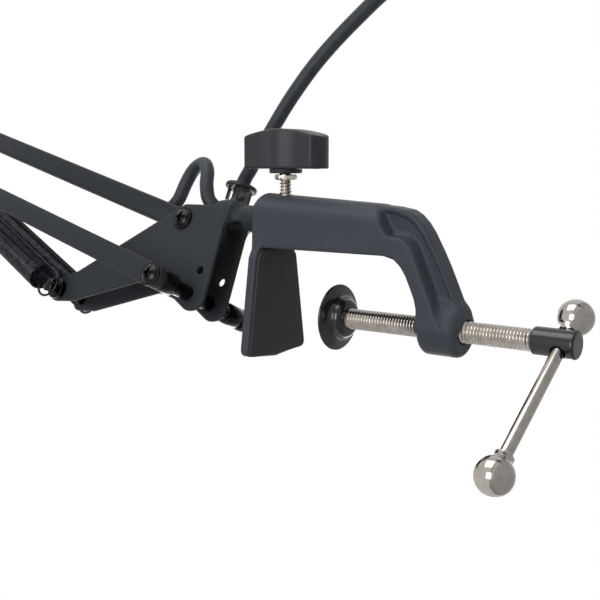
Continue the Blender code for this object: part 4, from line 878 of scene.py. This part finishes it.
def cap_field(x, y, z):
    """The screw's cap: a rod with round ends, less the hole that the handle slides through."""
    body = shared(rod(x, y, CAP_RADIUS), np.abs(z - CAP_MIDDLE) - CAP_HALF, 0.9)
    aside = x * math.cos(HANDLE_TURN) + y * math.sin(HANDLE_TURN)
    return carved(body, rod(aside, z - HANDLE_HEIGHT, HANDLE_HOLE), 0.3)


cap = built("screw_end_cap", *skin(cap_field, (-6, -6, -129), (6, 6, -111), 0.25), ROW, 70)
dress(cap, black_enamel, "black_steel", "screw", "screw_cap")

bar_profile = [(0, 6.1), (2.3, 6.1), (2.3, NEAR_BALL + 6.8), (0, NEAR_BALL + 6.8)]
bar = built("sliding_handle_bar", *lathe(bar_profile, 40), HANDLE, 40)
dress(bar, nickel_plate, "nickel", "handle", "handle_bar")
ball_profile = np.array([
    (0, BALL_RADIUS), *arc(0, 0, BALL_RADIUS, 88, -52, 22), (3.5, -6.3), (3.45, -7.7), (3.1, -8.0), (0, -8.0),
])
for name, centre, outward in (("far", FAR_BALL, 1), ("near", NEAR_BALL, -1)):
    made = built(f"handle_knob_{name}", *lathe(ball_profile * (1, outward) + (0, centre), 56), HANDLE, 40)
    dress(made, nickel_plate, "nickel", "handle", f"handle_ball_{name}")

# %% [markdown]
# ## Lock knob
# The knob that fixes the post is moulded in black plastic: a wing with a wavy face for finger and thumb, on
# a round hub. Its half depth is a curve along the wing, with a swell at the screw and a lesser one at each
# tip.

# %% Knob and its screw
KNOB = shifted(0, 0, LOCK_HEIGHT) @ TO_X
WAIST_HALF = 5.2
ROUND_FROM = 16.2
ROUND_LENGTH = 2.9
WING_FACE = 57.6
WING_BACK = 73.4
HUB_RADIUS = 6.6
HUB_MIDDLE = 59.0
HUB_HALF = 3.2


def knob_field(x, y, z):
    """The wing between a wavy face and its mirror, under an arched back, welded to the hub below it."""
    along = np.abs(x)
    half = WAIST_HALF + 2.3 * np.exp(-(along / 6.2)**2) + 0.75 * np.exp(-((along - 15.5) / 4.0)**2)
    end = np.maximum(along - ROUND_FROM, 0) / ROUND_LENGTH
    half = half * np.sqrt(np.maximum(1 - end**2, 0.0)) - 30 * np.maximum(end - 1, 0)
    wing = shared((np.abs(y) - half) * 0.9, along - ROUND_FROM - ROUND_LENGTH, 0.5)
    back = WING_BACK - along**2 / 110
    wing = shared(wing, np.maximum(z - back, WING_FACE - z), 0.9)
    hub = shared(rod(x, y, HUB_RADIUS), np.abs(z - HUB_MIDDLE) - HUB_HALF, 0.5)
    return weld(wing, hub, 0.4)


knob = built("lock_wing_knob", *skin(knob_field, (-20.5, -9, 55), (20.5, 9, 75), 0.42), KNOB, 70)
dress(knob, moulded_nylon, "black_plastic", "lock", "lock_knob")


def hexagon(radius, low, high, bore, edge=0.35):
    """A six-sided nut: rings of a hexagon, drawn in to its inner circle at both ends, round a bore."""
    turn = np.arange(48) / 48 * 2 * math.pi
    side = (turn + math.pi / 6) % (math.pi / 3) - math.pi / 6
    inner = radius * math.cos(math.pi / 6)
    flat = inner / np.cos(side)
    rings = [(bore, low), (inner, low), (flat, low + edge), (flat, high - edge), (inner, high), (bore, high)]
    return capped(np.array([
        np.stack([reach * np.cos(turn), reach * np.sin(turn), np.full(48, height)], axis=-1)
        for reach, height in rings
    ]))


stud = threaded(1.25, 1.95, 2.6, POST_X + POST_BORE, 63.0, 32)
nut = hexagon(4.5, 53.2, 55.4, 1.0)
lock_stud = built("lock_stud_and_nut", *together(stud, nut), KNOB, 40)
dress(lock_stud, zinc_plate, "zinc_steel", "lock", "lock_screw")

# %% [markdown]
# ## The base bracket
# Two plates stand on a hub that is cast with the post. The post turns in the clamp, and everything above
# swivels with it. Between the plates run the centre bar and the pins. The plates' outline is the same on
# both sides, so one formula in the distance from the middle plane makes both. Where they meet the hub, the
# gap ends in a round arch.

# %% Base bracket
PLATE_MIDDLE = 7.05
PLATE_THICK = 1.9
PLATE_HALF = 8.3
BAR_HALF = 30.3
PIN_BORE = 2.7
SPRING_PIN_BORE = 2.3
SPARE_HOLE = np.array([-26.6, 0, 26.6])
SPARE_BORE = 1.8
POST_RADIUS = 5.65
POST_MIDDLE = 2.0
POST_HALF = 22.0
ARCH_MIDDLE = -7.3
ARCH_RADIUS = 6.1
ARCH_LOW = 15.3


def near_spot(spot, dx, dz, radius):
    """An outline's corner, at a distance from a pivot, with its rounding."""
    return spot[0] + dx, spot[2] + dz, radius


base_line = rounded([
    (2.6, 20.6, 0), (2.6, UPPER_PIVOT[2] + 1.6, 3), near_spot(LOWER_FOOT, 9.8, -8.4, 8),
    near_spot(LOWER_FOOT, 4.0, 6.4, 4.5), near_spot(LOWER_FOOT, -5.6, 4.8, 4.5),
    near_spot(LOWER_FOOT, -4.4, -10.2, 4), near_spot(LOWER_PIVOT, 2.8, 31.0, 10),
    near_spot(LOWER_PIVOT, -2.8, 7.4, 4), near_spot(LOWER_PIVOT, -7.4, -1.4, 6),
    (LOWER_PIVOT[0] - 6.2, 19.8, 6), (-6.5, 21.2, 0),
])
hub_line = rounded([(-7.0, 21.4, 1.5), (5.6, 19.6, 2.5), (5.6, 30.4, 4.0), (-7.0, 32.3, 2.5)])


def plate_pair(x, y, z, outline):
    """Two plates of one outline, at the same distance to both sides of the middle plane."""
    return thick(outline_distance(x, z, outline), np.abs(y) - PLATE_MIDDLE, PLATE_THICK / 2, 0.5)


def pierced(body, x, z, spots, radius):
    """A body less the bores that run across it at some spots."""
    for spot in spots:
        body = carved(body, rod(x - spot[0], z - spot[2], radius), 0.35)
    return body


def base_field(x, y, z):
    """Plates on both sides of the hub, welded to the post, less the arch between the plates and the bores."""
    hub = thick(outline_distance(x, z, hub_line), y, 8.0, 2.6)
    post = shared(rod(x, y, POST_RADIUS), np.abs(z - POST_MIDDLE) - POST_HALF, 1.0)
    body = weld(np.minimum(plate_pair(x, y, z, base_line), hub), post, 5.0)
    arch = shared(rod(np.maximum(x - ARCH_MIDDLE, 0), y, ARCH_RADIUS), ARCH_LOW - z, 1.5)
    body = pierced(carved(body, arch, 0.7), x, z, (LOWER_PIVOT, UPPER_PIVOT), PIN_BORE)
    return pierced(pierced(body, x, z, [LOWER_FOOT], SPRING_PIN_BORE), x, z, [SPARE_HOLE], SPARE_BORE)


base = built("base_bracket_casting", *skin(base_field, (-51, -9, -21), (7, 9, 120), 0.55), ARM, 70)
dress(base, bracket_coat, "powder_coat", "base", "base_bracket")

# %% [markdown]
# ## The elbow and the head
# The elbow holds the tops of the lower bars and the feet of the upper ones, and the parallel bars keep it
# level. The head bracket is kept level in the same way. Both are pairs of plates joined by a web.

# %% Elbow and head brackets
elbow_line = rounded([
    near_spot(ELBOW_LOWER, -7.6, -7.4, 6.5), near_spot(ELBOW_LOWER, 6.0, -8.4, 5),
    near_spot(ELBOW_UPPER, 9.6, -7.4, 7), near_spot(SECOND_UPPER, 16.4, 4.0, 10),
    near_spot(UPPER_FOOT, 7.4, -1.2, 5), near_spot(UPPER_FOOT, -2.4, 7.4, 5),
    near_spot(SECOND_LOWER, -7.0, 6.6, 6.5),
])
head_line = rounded([
    near_spot(HEAD_LOWER, -8.0, 2.0, 6), near_spot(HEAD_LOWER, -2.0, -8.6, 6),
    near_spot(HEAD_UPPER, -4.0, -8.6, 6), near_spot(HEAD_UPPER, 8.4, -6.0, 6),
    near_spot(HEAD_TILT, 8.0, -6.4, 6), near_spot(HEAD_TILT, 6.0, 7.6, 6), near_spot(HEAD_LOWER, 2.0, 8.4, 7),
])
WEB_BEHIND = 6.65
WEB_CLEAR = 8
BRIDGE_BEHIND = 18.0
BRIDGE_RISE = 5.0
BRIDGE_TILT = math.radians(-3)


def box_distance(u, v, w, halves, edge):
    """A box with soft edges, from the distances to its middle planes."""
    return shared(shared(np.abs(u) - halves[0], np.abs(v) - halves[1], edge), np.abs(w) - halves[2], edge)


def elbow_field(x, y, z):
    """Two plates and the web behind them, less their bores."""
    low, high = ELBOW_LOWER[2] + WEB_CLEAR, SECOND_LOWER[2] - WEB_CLEAR
    middle, half = (low + high) / 2, (high - low) / 2
    web = box_distance(x - ELBOW_LOWER[0] + WEB_BEHIND, y, z - middle, (0.95, 7.5, half), 0.5)
    body = weld(plate_pair(x, y, z, elbow_line), web, 1.5)
    body = pierced(body, x, z, (ELBOW_LOWER, ELBOW_UPPER, SECOND_LOWER, SECOND_UPPER), PIN_BORE)
    return pierced(body, x, z, [UPPER_FOOT], SPRING_PIN_BORE)


def head_field(x, y, z):
    """Two plates and a tilted bridge between them, less their bores."""
    dx, dz = x - HEAD_TILT[0] + BRIDGE_BEHIND, z - HEAD_TILT[2] - BRIDGE_RISE
    cosine, sine = math.cos(BRIDGE_TILT), math.sin(BRIDGE_TILT)
    bridge = box_distance(dx * cosine - dz * sine, y, dx * sine + dz * cosine, (4.5, 7.5, 1.0), 0.4)
    body = weld(plate_pair(x, y, z, head_line), bridge, 1.5)
    return pierced(body, x, z, (HEAD_LOWER, HEAD_UPPER, HEAD_TILT), PIN_BORE)


for name, field, line in (("elbow", elbow_field, elbow_line), ("head", head_field, head_line)):
    low, high = line.min(axis=0) - 1.5, line.max(axis=0) + 1.5
    shell = skin(field, (low[0], -9, low[1]), (high[0], 9, high[1]), 0.65)
    made = built(f"{name}_bracket_plates", *shell, ARM, 70)
    dress(made, bracket_coat, "powder_coat", name, f"{name}_bracket")

# %% [markdown]
# ## Bolts, shafts and bushes
# The pivots are steel, blackened and oiled. Each bolt has a domed head with a cross recess, and a six-sided
# nut behind. The recess is carved out of the head's formula; the shafts are turned, so they are profiles.

# %% Bolt heads
SLOT_REACH = 2.1
SLOT_FLOOR = 0.75


def bolt_head_field(x, y, z):
    """A dome on a washer's rim, less a cross of two tapering slots."""
    dome = np.sqrt(x**2 + y**2 + (z + 4.0)**2) - 6.4
    body = shared(shared(rod(x, y, 4.0), dome, 0.25), -z, 0.15)
    body = np.minimum(body, shared(rod(x, y, 4.9), np.abs(z - 0.3) - 0.4, 0.15))
    slot = 0.5 + 0.12 * (z - 1.0)
    one = np.maximum(np.abs(x) - slot, np.abs(y) - SLOT_REACH)
    other = np.maximum(np.abs(y) - slot, np.abs(x) - SLOT_REACH)
    cross = np.minimum(np.minimum(one, other), rod(x, y, 0.95))
    return carved(body, np.maximum(cross, SLOT_FLOOR - z), 0.12)


bolt_head = skin(bolt_head_field, (-5.3, -5.3, -0.5), (5.3, 5.3, 2.8), 0.17)


def on_pivot(name, shell, spot, body, node):
    """A blackened steel piece that lies along the pins' direction at a pivot."""
    made = built(name, *shell, ARM @ shifted(*spot) @ ACROSS, 40)
    dress(made, black_oxide, "black_steel", body, node)


def bolt(name, spot, half, body, node):
    """A bolt along the pins' direction: its head at the near end, its shank, and its nut at the far end."""
    shank = lathe([(0, half + 0.2), (2.4, half + 0.2), (2.4, -half - 0.2), (0, -half - 0.2)], 28)
    nut = placed(hexagon(4.3, 0, 2.2, 1.6), shifted(0, 0, -half - 2.2))
    end = placed(threaded(0.8, 1.6, 2.0, 0, 3.4, 24), shifted(0, 0, -half - 3.4))
    on_pivot(name, together(placed(bolt_head, shifted(0, 0, half)), shank, nut, end), spot, body, node)


def wide_shaft(name, spot, body, node):
    """A shaft through both side bars, with a bush against each, and a bolt's head at both ends."""
    middle = lathe(both_ways([
        (0, 30.1), (2.4, 30.1), (2.4, 26.1), (4.2, 26.1), (4.6, 25.7), (4.6, 18.0), (4.2, 17.5), (3.3, 17.3),
        (3.3, 8.8), (3.0, 8.3), (2.4, 8.3),
    ]), 32)
    near_head = placed(bolt_head, shifted(0, 0, BAR_HALF))
    far_head = placed(bolt_head, shifted(0, 0, -BAR_HALF) @ turned(math.pi, "X"))
    on_pivot(name, together(middle, near_head, far_head), spot, body, node)


bolt("centre_bar_bolt_at_base", UPPER_PIVOT, PLATE_HALF, "base", "upper_pivot_bolt")
bolt("side_bar_bolt_at_base", LOWER_PIVOT, BAR_HALF, "base", "lower_pivot_bolt")
bolt("centre_bar_bolt_at_elbow", ELBOW_UPPER, PLATE_HALF, "elbow", "elbow_bolt_lower")
bolt("upper_bar_bolt_at_elbow", SECOND_UPPER, PLATE_HALF, "elbow", "elbow_bolt_upper")
bolt("centre_bar_bolt_at_head", HEAD_UPPER, PLATE_HALF, "head", "head_bolt")
wide_shaft("elbow_cross_shaft_low", ELBOW_LOWER, "elbow", "elbow_shaft_lower")
wide_shaft("elbow_cross_shaft_high", SECOND_LOWER, "elbow", "elbow_shaft_upper")
wide_shaft("head_cross_shaft", HEAD_LOWER, "head", "head_shaft")

# %% Bushes and spring pins
near_bush = [
    (2.7, 8.3), (3.0, 8.3), (3.3, 8.7), (3.3, 17.3), (4.2, 17.5), (4.6, 18.0), (4.6, 25.6), (4.2, 26.1),
    (2.7, 26.1),
]
far_bush = [(radius, -height) for radius, height in near_bush]
spacer = [(2.7, -5.8), (3.3, -5.8), (3.3, 5.8), (2.7, 5.8)]
on_pivot("near_bush", ring(near_bush), LOWER_PIVOT, "base", "pivot_bush_near")
on_pivot("far_bush", ring(far_bush), LOWER_PIVOT, "base", "pivot_bush_far")
on_pivot("middle_spacer", ring(spacer), LOWER_PIVOT, "base", "pivot_spacer")
spring_post = lathe(both_ways([
    (0, 15.6), (2.4, 15.6), (3.0, 15.2), (3.0, 14.5), (2.0, 14.4), (2.0, 11.0), (4.4, 10.9), (4.8, 10.5),
    (4.8, 8.6), (4.5, 8.3), (2.0, 8.3),
]), 36)
on_pivot("spring_post_low", spring_post, LOWER_FOOT, "base", "spring_pin_lower")
on_pivot("spring_post_high", spring_post, UPPER_FOOT, "elbow", "spring_pin_upper")

# %% [markdown]
# ## The bars
# Each arm has a square tube in the middle and a flat bar at either side. They are cut from drawn stock, with
# rounded ends, and painted black. A bar is the same outline at several heights, drawn in a little at the top
# and the bottom for its softened edge.

# %% Bars
BAR_REACH = 5.3
SIDE_BAR_OUTER = 30.0
SIDE_BAR_THICK = 3.6
TUBE_WALL = 1.2
TUBE_REACH = 6.2
END_EDGE = 0.3


def banded(flats, heights):
    """A grid of flat outlines, each at a height of its own."""
    return np.stack([
        np.column_stack([flat, np.full(len(flat), height)]) for flat, height in zip(flats, heights)
    ])


def flat_bar(outline, low, high, edge):
    """A slab of an outline from low to high across: rings of the outline, drawn in at both rims along its own
    normals by edge (1 - sin t), while the height runs by edge (1 - cos t)."""
    step = np.roll(outline, -1, axis=0) - np.roll(outline, 1, axis=0)
    normal = np.stack([step[:, 1], -step[:, 0]], axis=-1)
    normal /= np.linalg.norm(normal, axis=1, keepdims=True)
    if np.cross(outline, np.roll(outline, -1, axis=0)).sum() < 0:
        normal = -normal
    turn = np.linspace(0, math.pi / 2, 5)
    inset = np.concatenate([edge * (1 - np.sin(turn)), edge * (1 - np.sin(turn[::-1]))])
    height = np.concatenate([low + edge * (1 - np.cos(turn)), high - edge * (1 - np.cos(turn[::-1]))])
    grid = banded(outline[None] - inset[:, None, None] * normal[None], height)
    points = grid.reshape(-1, 3)[:, [0, 2, 1]]
    count = len(outline)
    ends = [list(range(count)), list(range(len(points) - count, len(points)))]
    return points, grid_faces(len(height), count).tolist() + ends


def bar_outline(half, reach, corner, length):
    """A bar along Z from a pivot at zero, longer by reach at both ends, its corners rounded."""
    return rounded([(-half, -reach, corner), (half, -reach, corner), (half, length + reach, corner),
                    (-half, length + reach, corner)], 5)


def square(half, corner):
    """A square outline with rounded corners."""
    return rounded([(-half, -half, corner), (half, -half, corner), (half, half, corner),
                    (-half, half, corner)], 5)


def square_tube(half, wall, reach, length):
    """A tube along Z of square section: outside, end, inside and other end, as one closed band."""
    outside, inside = square(half, 1.1), square(half - wall, 0.3)
    thin = outside * (1 - END_EDGE / half)
    top = length + reach
    flats = [thin, outside, outside, thin, inside, inside, thin]
    grid = banded(flats, [-reach, END_EDGE - reach, top - END_EDGE, top, top, -reach, -reach])
    return grid.reshape(-1, 3), grid_faces(len(flats), len(outside)).tolist()


bar_paint = powder_coat("black_paint_on_drawn_bar", "#2a2d31", 0.44)
sections = (("lower", LOWER_PIVOT, UPPER_PIVOT, LOWER_LEAN, LOWER_FOOT),
            ("upper", SECOND_LOWER, SECOND_UPPER, UPPER_LEAN, UPPER_FOOT))
side_bar_line = bar_outline(BAR_WIDTH / 2, BAR_REACH, 4.5, ARM_LENGTH)
for name, low_spot, high_spot, angle, foot in sections:
    shell = square_tube(BAR_WIDTH / 2, TUBE_WALL, TUBE_REACH, ARM_LENGTH)
    made = built(f"{name}_square_tube", *shell, ARM @ shifted(*high_spot) @ turned(angle, "Y"), 50)
    dress(made, bar_paint, "bar_paint", f"{name}_centre", f"{name}_centre_bar")
    for side, start in (("near", -SIDE_BAR_OUTER), ("far", SIDE_BAR_OUTER - SIDE_BAR_THICK)):
        shell = flat_bar(side_bar_line, start, start + SIDE_BAR_THICK, 0.5)
        made = built(f"{name}_side_bar_{side}", *shell, ARM @ shifted(*low_spot) @ turned(angle, "Y"), 50)
        dress(made, bar_paint, "bar_paint", f"{name}_sides", f"{name}_bar_{side}")

# %% [markdown]
# ## The balance springs
# Springs of blackened wire pull each arm up against the microphone's weight. At rest they are stretched a
# little, so their turns stand slightly apart. The wire is a tube that follows a helix, and its last turn is
# bent up to a loop that hooks round the post. A spring stretches as its arm moves; here it is drawn as it
# stands and is given to no body.

# %% Springs
WIRE = 1.1
SPRING_SIDE = 12.8
SPRING_ANCHOR = 231.8
SHANK_GAP = 24.0
COIL_MIDDLE = 6.35 - WIRE / 2
COIL_START = 9.4
COIL_PITCH = 1.42
HOOK_RADIUS = 6.2
HOOK_MIDDLE = HOOK_RADIUS - WIRE / 2 - 2.0
TURN_STEP = 0.05


def coil_points(count):
    """The wire's middle n turns up: radius (cos 2 pi n, sin 2 pi n), and one pitch higher for each turn."""
    turn = 2 * math.pi * count
    height = COIL_START + COIL_PITCH * count
    return np.stack([COIL_MIDDLE * np.cos(turn), COIL_MIDDLE * np.sin(turn), height], axis=-1)


def spring_line(length):
    """The whole wire: a loop round the post, in the plane of the spring's axis, turned over into the coil."""
    round_post = np.linspace(-2.6, 1.7, 20)
    hook = np.stack([HOOK_RADIUS * np.sin(round_post), 0 * round_post,
                     HOOK_MIDDLE - HOOK_RADIUS * np.cos(round_post)], axis=-1)
    turn_over = [(6.1, 0.1, 6.0), (5.9, 0.6, 7.8), (5.45, 1.9, 9.0)]
    foot = smooth_route([*hook, *turn_over, *coil_points(np.arange(0.1, 0.7, TURN_STEP))], 0.5)
    turns = (length - COIL_START) / COIL_PITCH
    return np.concatenate([foot, coil_points(np.arange(0.7, turns, TURN_STEP))])


spring_wire = plated("blackened_spring_wire", "#3a3c42", "#232428", 0.2, 0.9)
crossbar = lathe(both_ways([(0, 31.9), (3.0, 31.9), (3.4, 31.5), (3.4, 30.3), (2.4, 30.3)]), 28)
eye = lathe([(0, 2.0), (3.3, 2.0), (3.7, 1.6), (3.7, -1.6), (3.3, -2.0), (0, -2.0)], 28)
shank = threaded(0.7, 0.62, 0.8, -46.0, -1.0, 16)
for name, low_spot, high_spot, angle, foot in sections:
    anchor = low_spot + SPRING_ANCHOR * lean(angle)
    pull = anchor - foot
    tip = math.atan2(pull[0], pull[2])
    reach = float(np.linalg.norm(pull)) - SHANK_GAP
    sleeve = ring([(6.65, reach - 9.0), (7.3, reach - 9.0), (7.55, reach - 8.7), (7.55, reach + 1.7),
                   (7.3, reach + 2.0), (6.65, reach + 2.0)], 40)
    pieces = [placed(crossbar, ACROSS)]
    for side, across in (("near", -SPRING_SIDE), ("far", SPRING_SIDE)):
        place = ARM @ shifted(foot[0], across, foot[2]) @ turned(tip, "Y")
        wound = tube(spring_line(reach), WIRE / 2, 8, (0.3, 1, 0.2))
        made = built(f"{name}_balance_spring_{side}", *wound, place, 60)
        dress(made, spring_wire, "black_steel", None, f"{name}_spring_{side}")
        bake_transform(made)
        made = built(f"{name}_spring_sleeve_{side}", *sleeve, place, 40)
        dress(made, moulded_nylon, "black_plastic", f"{name}_spring_tops", f"{name}_sleeve_{side}")
        pieces += [placed(eye, shifted(0, across, 0) @ ACROSS), placed(shank, shifted(0, across, -1))]
    made = built(f"{name}_spring_crossbar", *together(*pieces), ARM @ shifted(*anchor) @ turned(tip, "Y"), 40)
    dress(made, black_oxide, "black_steel", f"{name}_yoke", f"{name}_spring_yoke")

# %% [markdown]
# ## Ties and the cable clip
# Nylon ties hold the cable to the centre bars, and a moulded clip holds it where it leaves the bracket. A
# tie is a band with a small head, where its tail was cut off flush.

# %% Ties and clip
TIE_GAP = 5.0
TIE_FAR = 11.5
TIE_WALL = 1.0
TIE_HALF_WIDTH = 2.25


def tie_outline(grown, tip, corner, bend, end):
    """A tie's outline round a bar and its cable, grown by a wall's thickness."""
    side, far = TIE_GAP + grown, TIE_FAR + grown
    return rounded([(-side, -side, corner), (side, -side, corner), (side, side, bend), (tip, far, end),
                    (-tip, far, end), (-side, side, bend)], 5)


def tie_shell():
    """A band, of an outer and an inner outline at two heights joined in a closed ring, and its head."""
    outer, inner = tie_outline(TIE_WALL, 3.1, 1, 2, 2), tie_outline(0, 3.4, 0.2, 0.5, 1)
    low, high = -TIE_HALF_WIDTH, TIE_HALF_WIDTH
    grid = banded([outer, outer, inner, inner, outer], [low, high, high, low, low])
    band = (grid.reshape(-1, 3), grid_faces(5, len(outer)).tolist())
    head_line = rounded([(-2.7, -3.0, 0.8), (2.7, -3.0, 0.8), (2.7, 3.0, 0.8), (-2.7, 3.0, 0.8)], 4)
    return together(band, placed(flat_bar(head_line, 0, 3.4, 0.4), shifted(0.0, -9.2, 0)))


tie = tie_shell()
for name, low_spot, high_spot, angle, foot in sections:
    for end, distance in (("foot", 190.0), ("top", ARM_LENGTH - 62.0)):
        place = ARM @ shifted(*(high_spot + distance * lean(angle))) @ turned(angle, "Y")
        made = built(f"{name}_cable_tie_{end}", *tie, place, 40)
        dress(made, moulded_nylon, "black_plastic", f"{name}_centre", f"cable_tie_{name}_{end}")


def clip_field(x, y, z):
    """A flange on three legs along X that grip the cable, on a foot screwed to the bracket's far plate. The
    legs are what is left of a sleeve where the cosine of three times the angle round it is large."""
    dx, dy, dz = x - CLIP_SPOT[0], y - CLIP_SPOT[1], z - CLIP_SPOT[2]
    sleeve = carved(shared(rod(dy, dz, 5.6), np.abs(dx + 2.9) - 3.1, 0.3), rod(dy, dz, 4.5), 0.2)
    turn = np.arctan2(dz, dy) - math.radians(125)
    legs = shared(sleeve, (0.35 - np.cos(3 * turn)) * 1.6, 0.2)
    body = weld(legs, shared(rod(dy, dz, 7.1), np.abs(dx - 0.9) - 0.9, 0.45), 0.5)
    foot = box_distance(x + 0.2, y - 9.1, z - 25.7, (2.8, 0.8, 3.8), 0.35)
    arm = box_distance(x - 7.3, y - 9.1, z - 28.3, (8.3, 0.8, 1.3), 0.35)
    riser = box_distance(x - 14.4, y - 9.1, z - 31.2, (1.3, 0.8, 3.4), 0.3)
    body = weld(weld(weld(body, foot, 0.5), arm, 0.5), riser, 0.6)
    return carved(body, rod(dy, dz, 3.5), 0.25)


clip = built("cable_clip_moulding", *skin(clip_field, (-4, 4, 20), (21, 20, 45), 0.36), ARM, 70)
dress(clip, moulded_nylon, "black_plastic", "base", "cable_clip")

# %% [markdown]
# ## The head
# A block tilts between the head's plates and ends in the standard microphone thread. The thumbscrew is
# moulded with lobes for a grip; its radius is a wave round the axis.

# %% Tilt block, thread and thumbscrew
def tilt_field(x, y, z):
    """A barrel across the head with a stem on it, less the bore."""
    barrel = shared(rod(x, z, 6.5), np.abs(y) - 5.8, 0.5)
    stem = shared(rod(x, y, 4.6), np.abs(z - 8.0) - 8.0, 0.4)
    return carved(weld(barrel, stem, 1.5), rod(x, z, PIN_BORE), 0.3)


def thumb_field(x, y, z):
    """A grip whose radius swells and dips eight times round, on a neck."""
    turn = np.arctan2(y, x)
    grip = shared(np.hypot(x, y) - 7.4 - 0.6 * np.cos(8 * turn), np.abs(z - 15.2) - 5.1, 1.0)
    return weld(grip, shared(rod(x, y, 5.0), np.abs(z - 11.0) - 2.7, 0.3), 0.8)


HEAD_PLACE = ARM @ shifted(*HEAD_TILT)
block = built("tilting_block", *skin(tilt_field, (-7.2, -6.5, -7.2), (7.2, 6.5, 16.6), 0.45), HEAD_PLACE, 70)
dress(block, bracket_coat, "powder_coat", "tilt", "tilt_block")
collar = lathe([(0, 16.3), (10.0, 16.3), (10.5, 16.8), (10.5, 19.8), (10.0, 20.3), (0, 20.3)], 64)
stud = threaded(0.94, 7.3, 7.9, 20.0, 34.3, 56)
made = built("microphone_stud", *together(collar, stud), HEAD_PLACE, 40)
dress(made, zinc_plate, "zinc_steel", "tilt", "mic_thread")
grip = skin(thumb_field, (-8.6, -8.6, 7.6), (8.6, 8.6, 21), 0.4)
shank = lathe([
    (0, 9.0), (2.4, 9.0), (2.4, -8.3), (3.6, -8.3), (4.0, -8.6), (4.0, -11.4), (3.6, -11.7), (0, -11.7),
], 28)
thumb = built("tilt_grip_screw", *together(grip, shank), HEAD_PLACE @ ACROSS, 45)
dress(thumb, moulded_nylon, "black_plastic", "tilt_screw", "tilt_thumbscrew")

# %% [markdown]
# ## Floor, background and light
# The object was photographed in a white studio. Rays from the camera and mirror reflections see white; the
# light itself comes from large soft lamps and a grey surround, so that a colour renders about as it is
# written.

# %% Floor, world and lamps
floor = built("studio_floor", *capped(np.array([
    [(-2500, -2500, z), (2500, -2500, z), (2500, 2500, z), (-2500, 2500, z)] for z in (-304, -300)
], float)), ROW)
floor_paint, tree, shader = new_material("pale_floor", "#f2f2f2", 0.9)
floor.data.materials.append(floor_paint)

world = bpy.data.worlds.new("studio")
bpy.context.scene.world = world
bpy.context.scene.view_settings.view_transform = "Standard"
world.use_nodes = True
sky = world.node_tree
rays = add(sky, "ShaderNodeLightPath")
seen = add(sky, "ShaderNodeMath", {0: rays.outputs["Is Camera Ray"], 1: rays.outputs["Is Transmission Ray"]},
           operation="MAXIMUM")
seen = add(sky, "ShaderNodeMath", {0: seen.outputs[0], 1: rays.outputs["Is Glossy Ray"]}, operation="MAXIMUM")
ambient = add(sky, "ShaderNodeMapRange", {"Value": seen.outputs[0], "To Min": 0.26, "To Max": 1.0})
sky.nodes["Background"].inputs["Color"].default_value = (1, 1, 1, 1)
sky.links.new(ambient.outputs["Result"], sky.nodes["Background"].inputs["Strength"])


def lamp(name, place, aim, size, power):
    """A square soft lamp at a place, facing an aim, both in metres."""
    data = bpy.data.lights.new(name, "AREA")
    data.shape = "SQUARE"
    data.size = size
    data.energy = power
    made = bpy.data.objects.new(name, data)
    made.location = place
    made.rotation_mode = "QUATERNION"
    made.rotation_quaternion = (Vector(aim) - Vector(place)).to_track_quat("-Z", "Y")
    bpy.context.scene.collection.objects.link(made)


lamp("key", (0.3, -1.25, -0.1), (0.03, 0.0, 0.1), 0.7, 9.0)
lamp("top", (1.2, -0.3, 0.3), (0.03, 0.0, 0.1), 0.9, 7.5)
lamp("rim", (-0.5, 1.1, 0.8), (0.05, 0.0, 0.2), 0.9, 8.0)
print("lit by", len(bpy.data.lights), "lamps")
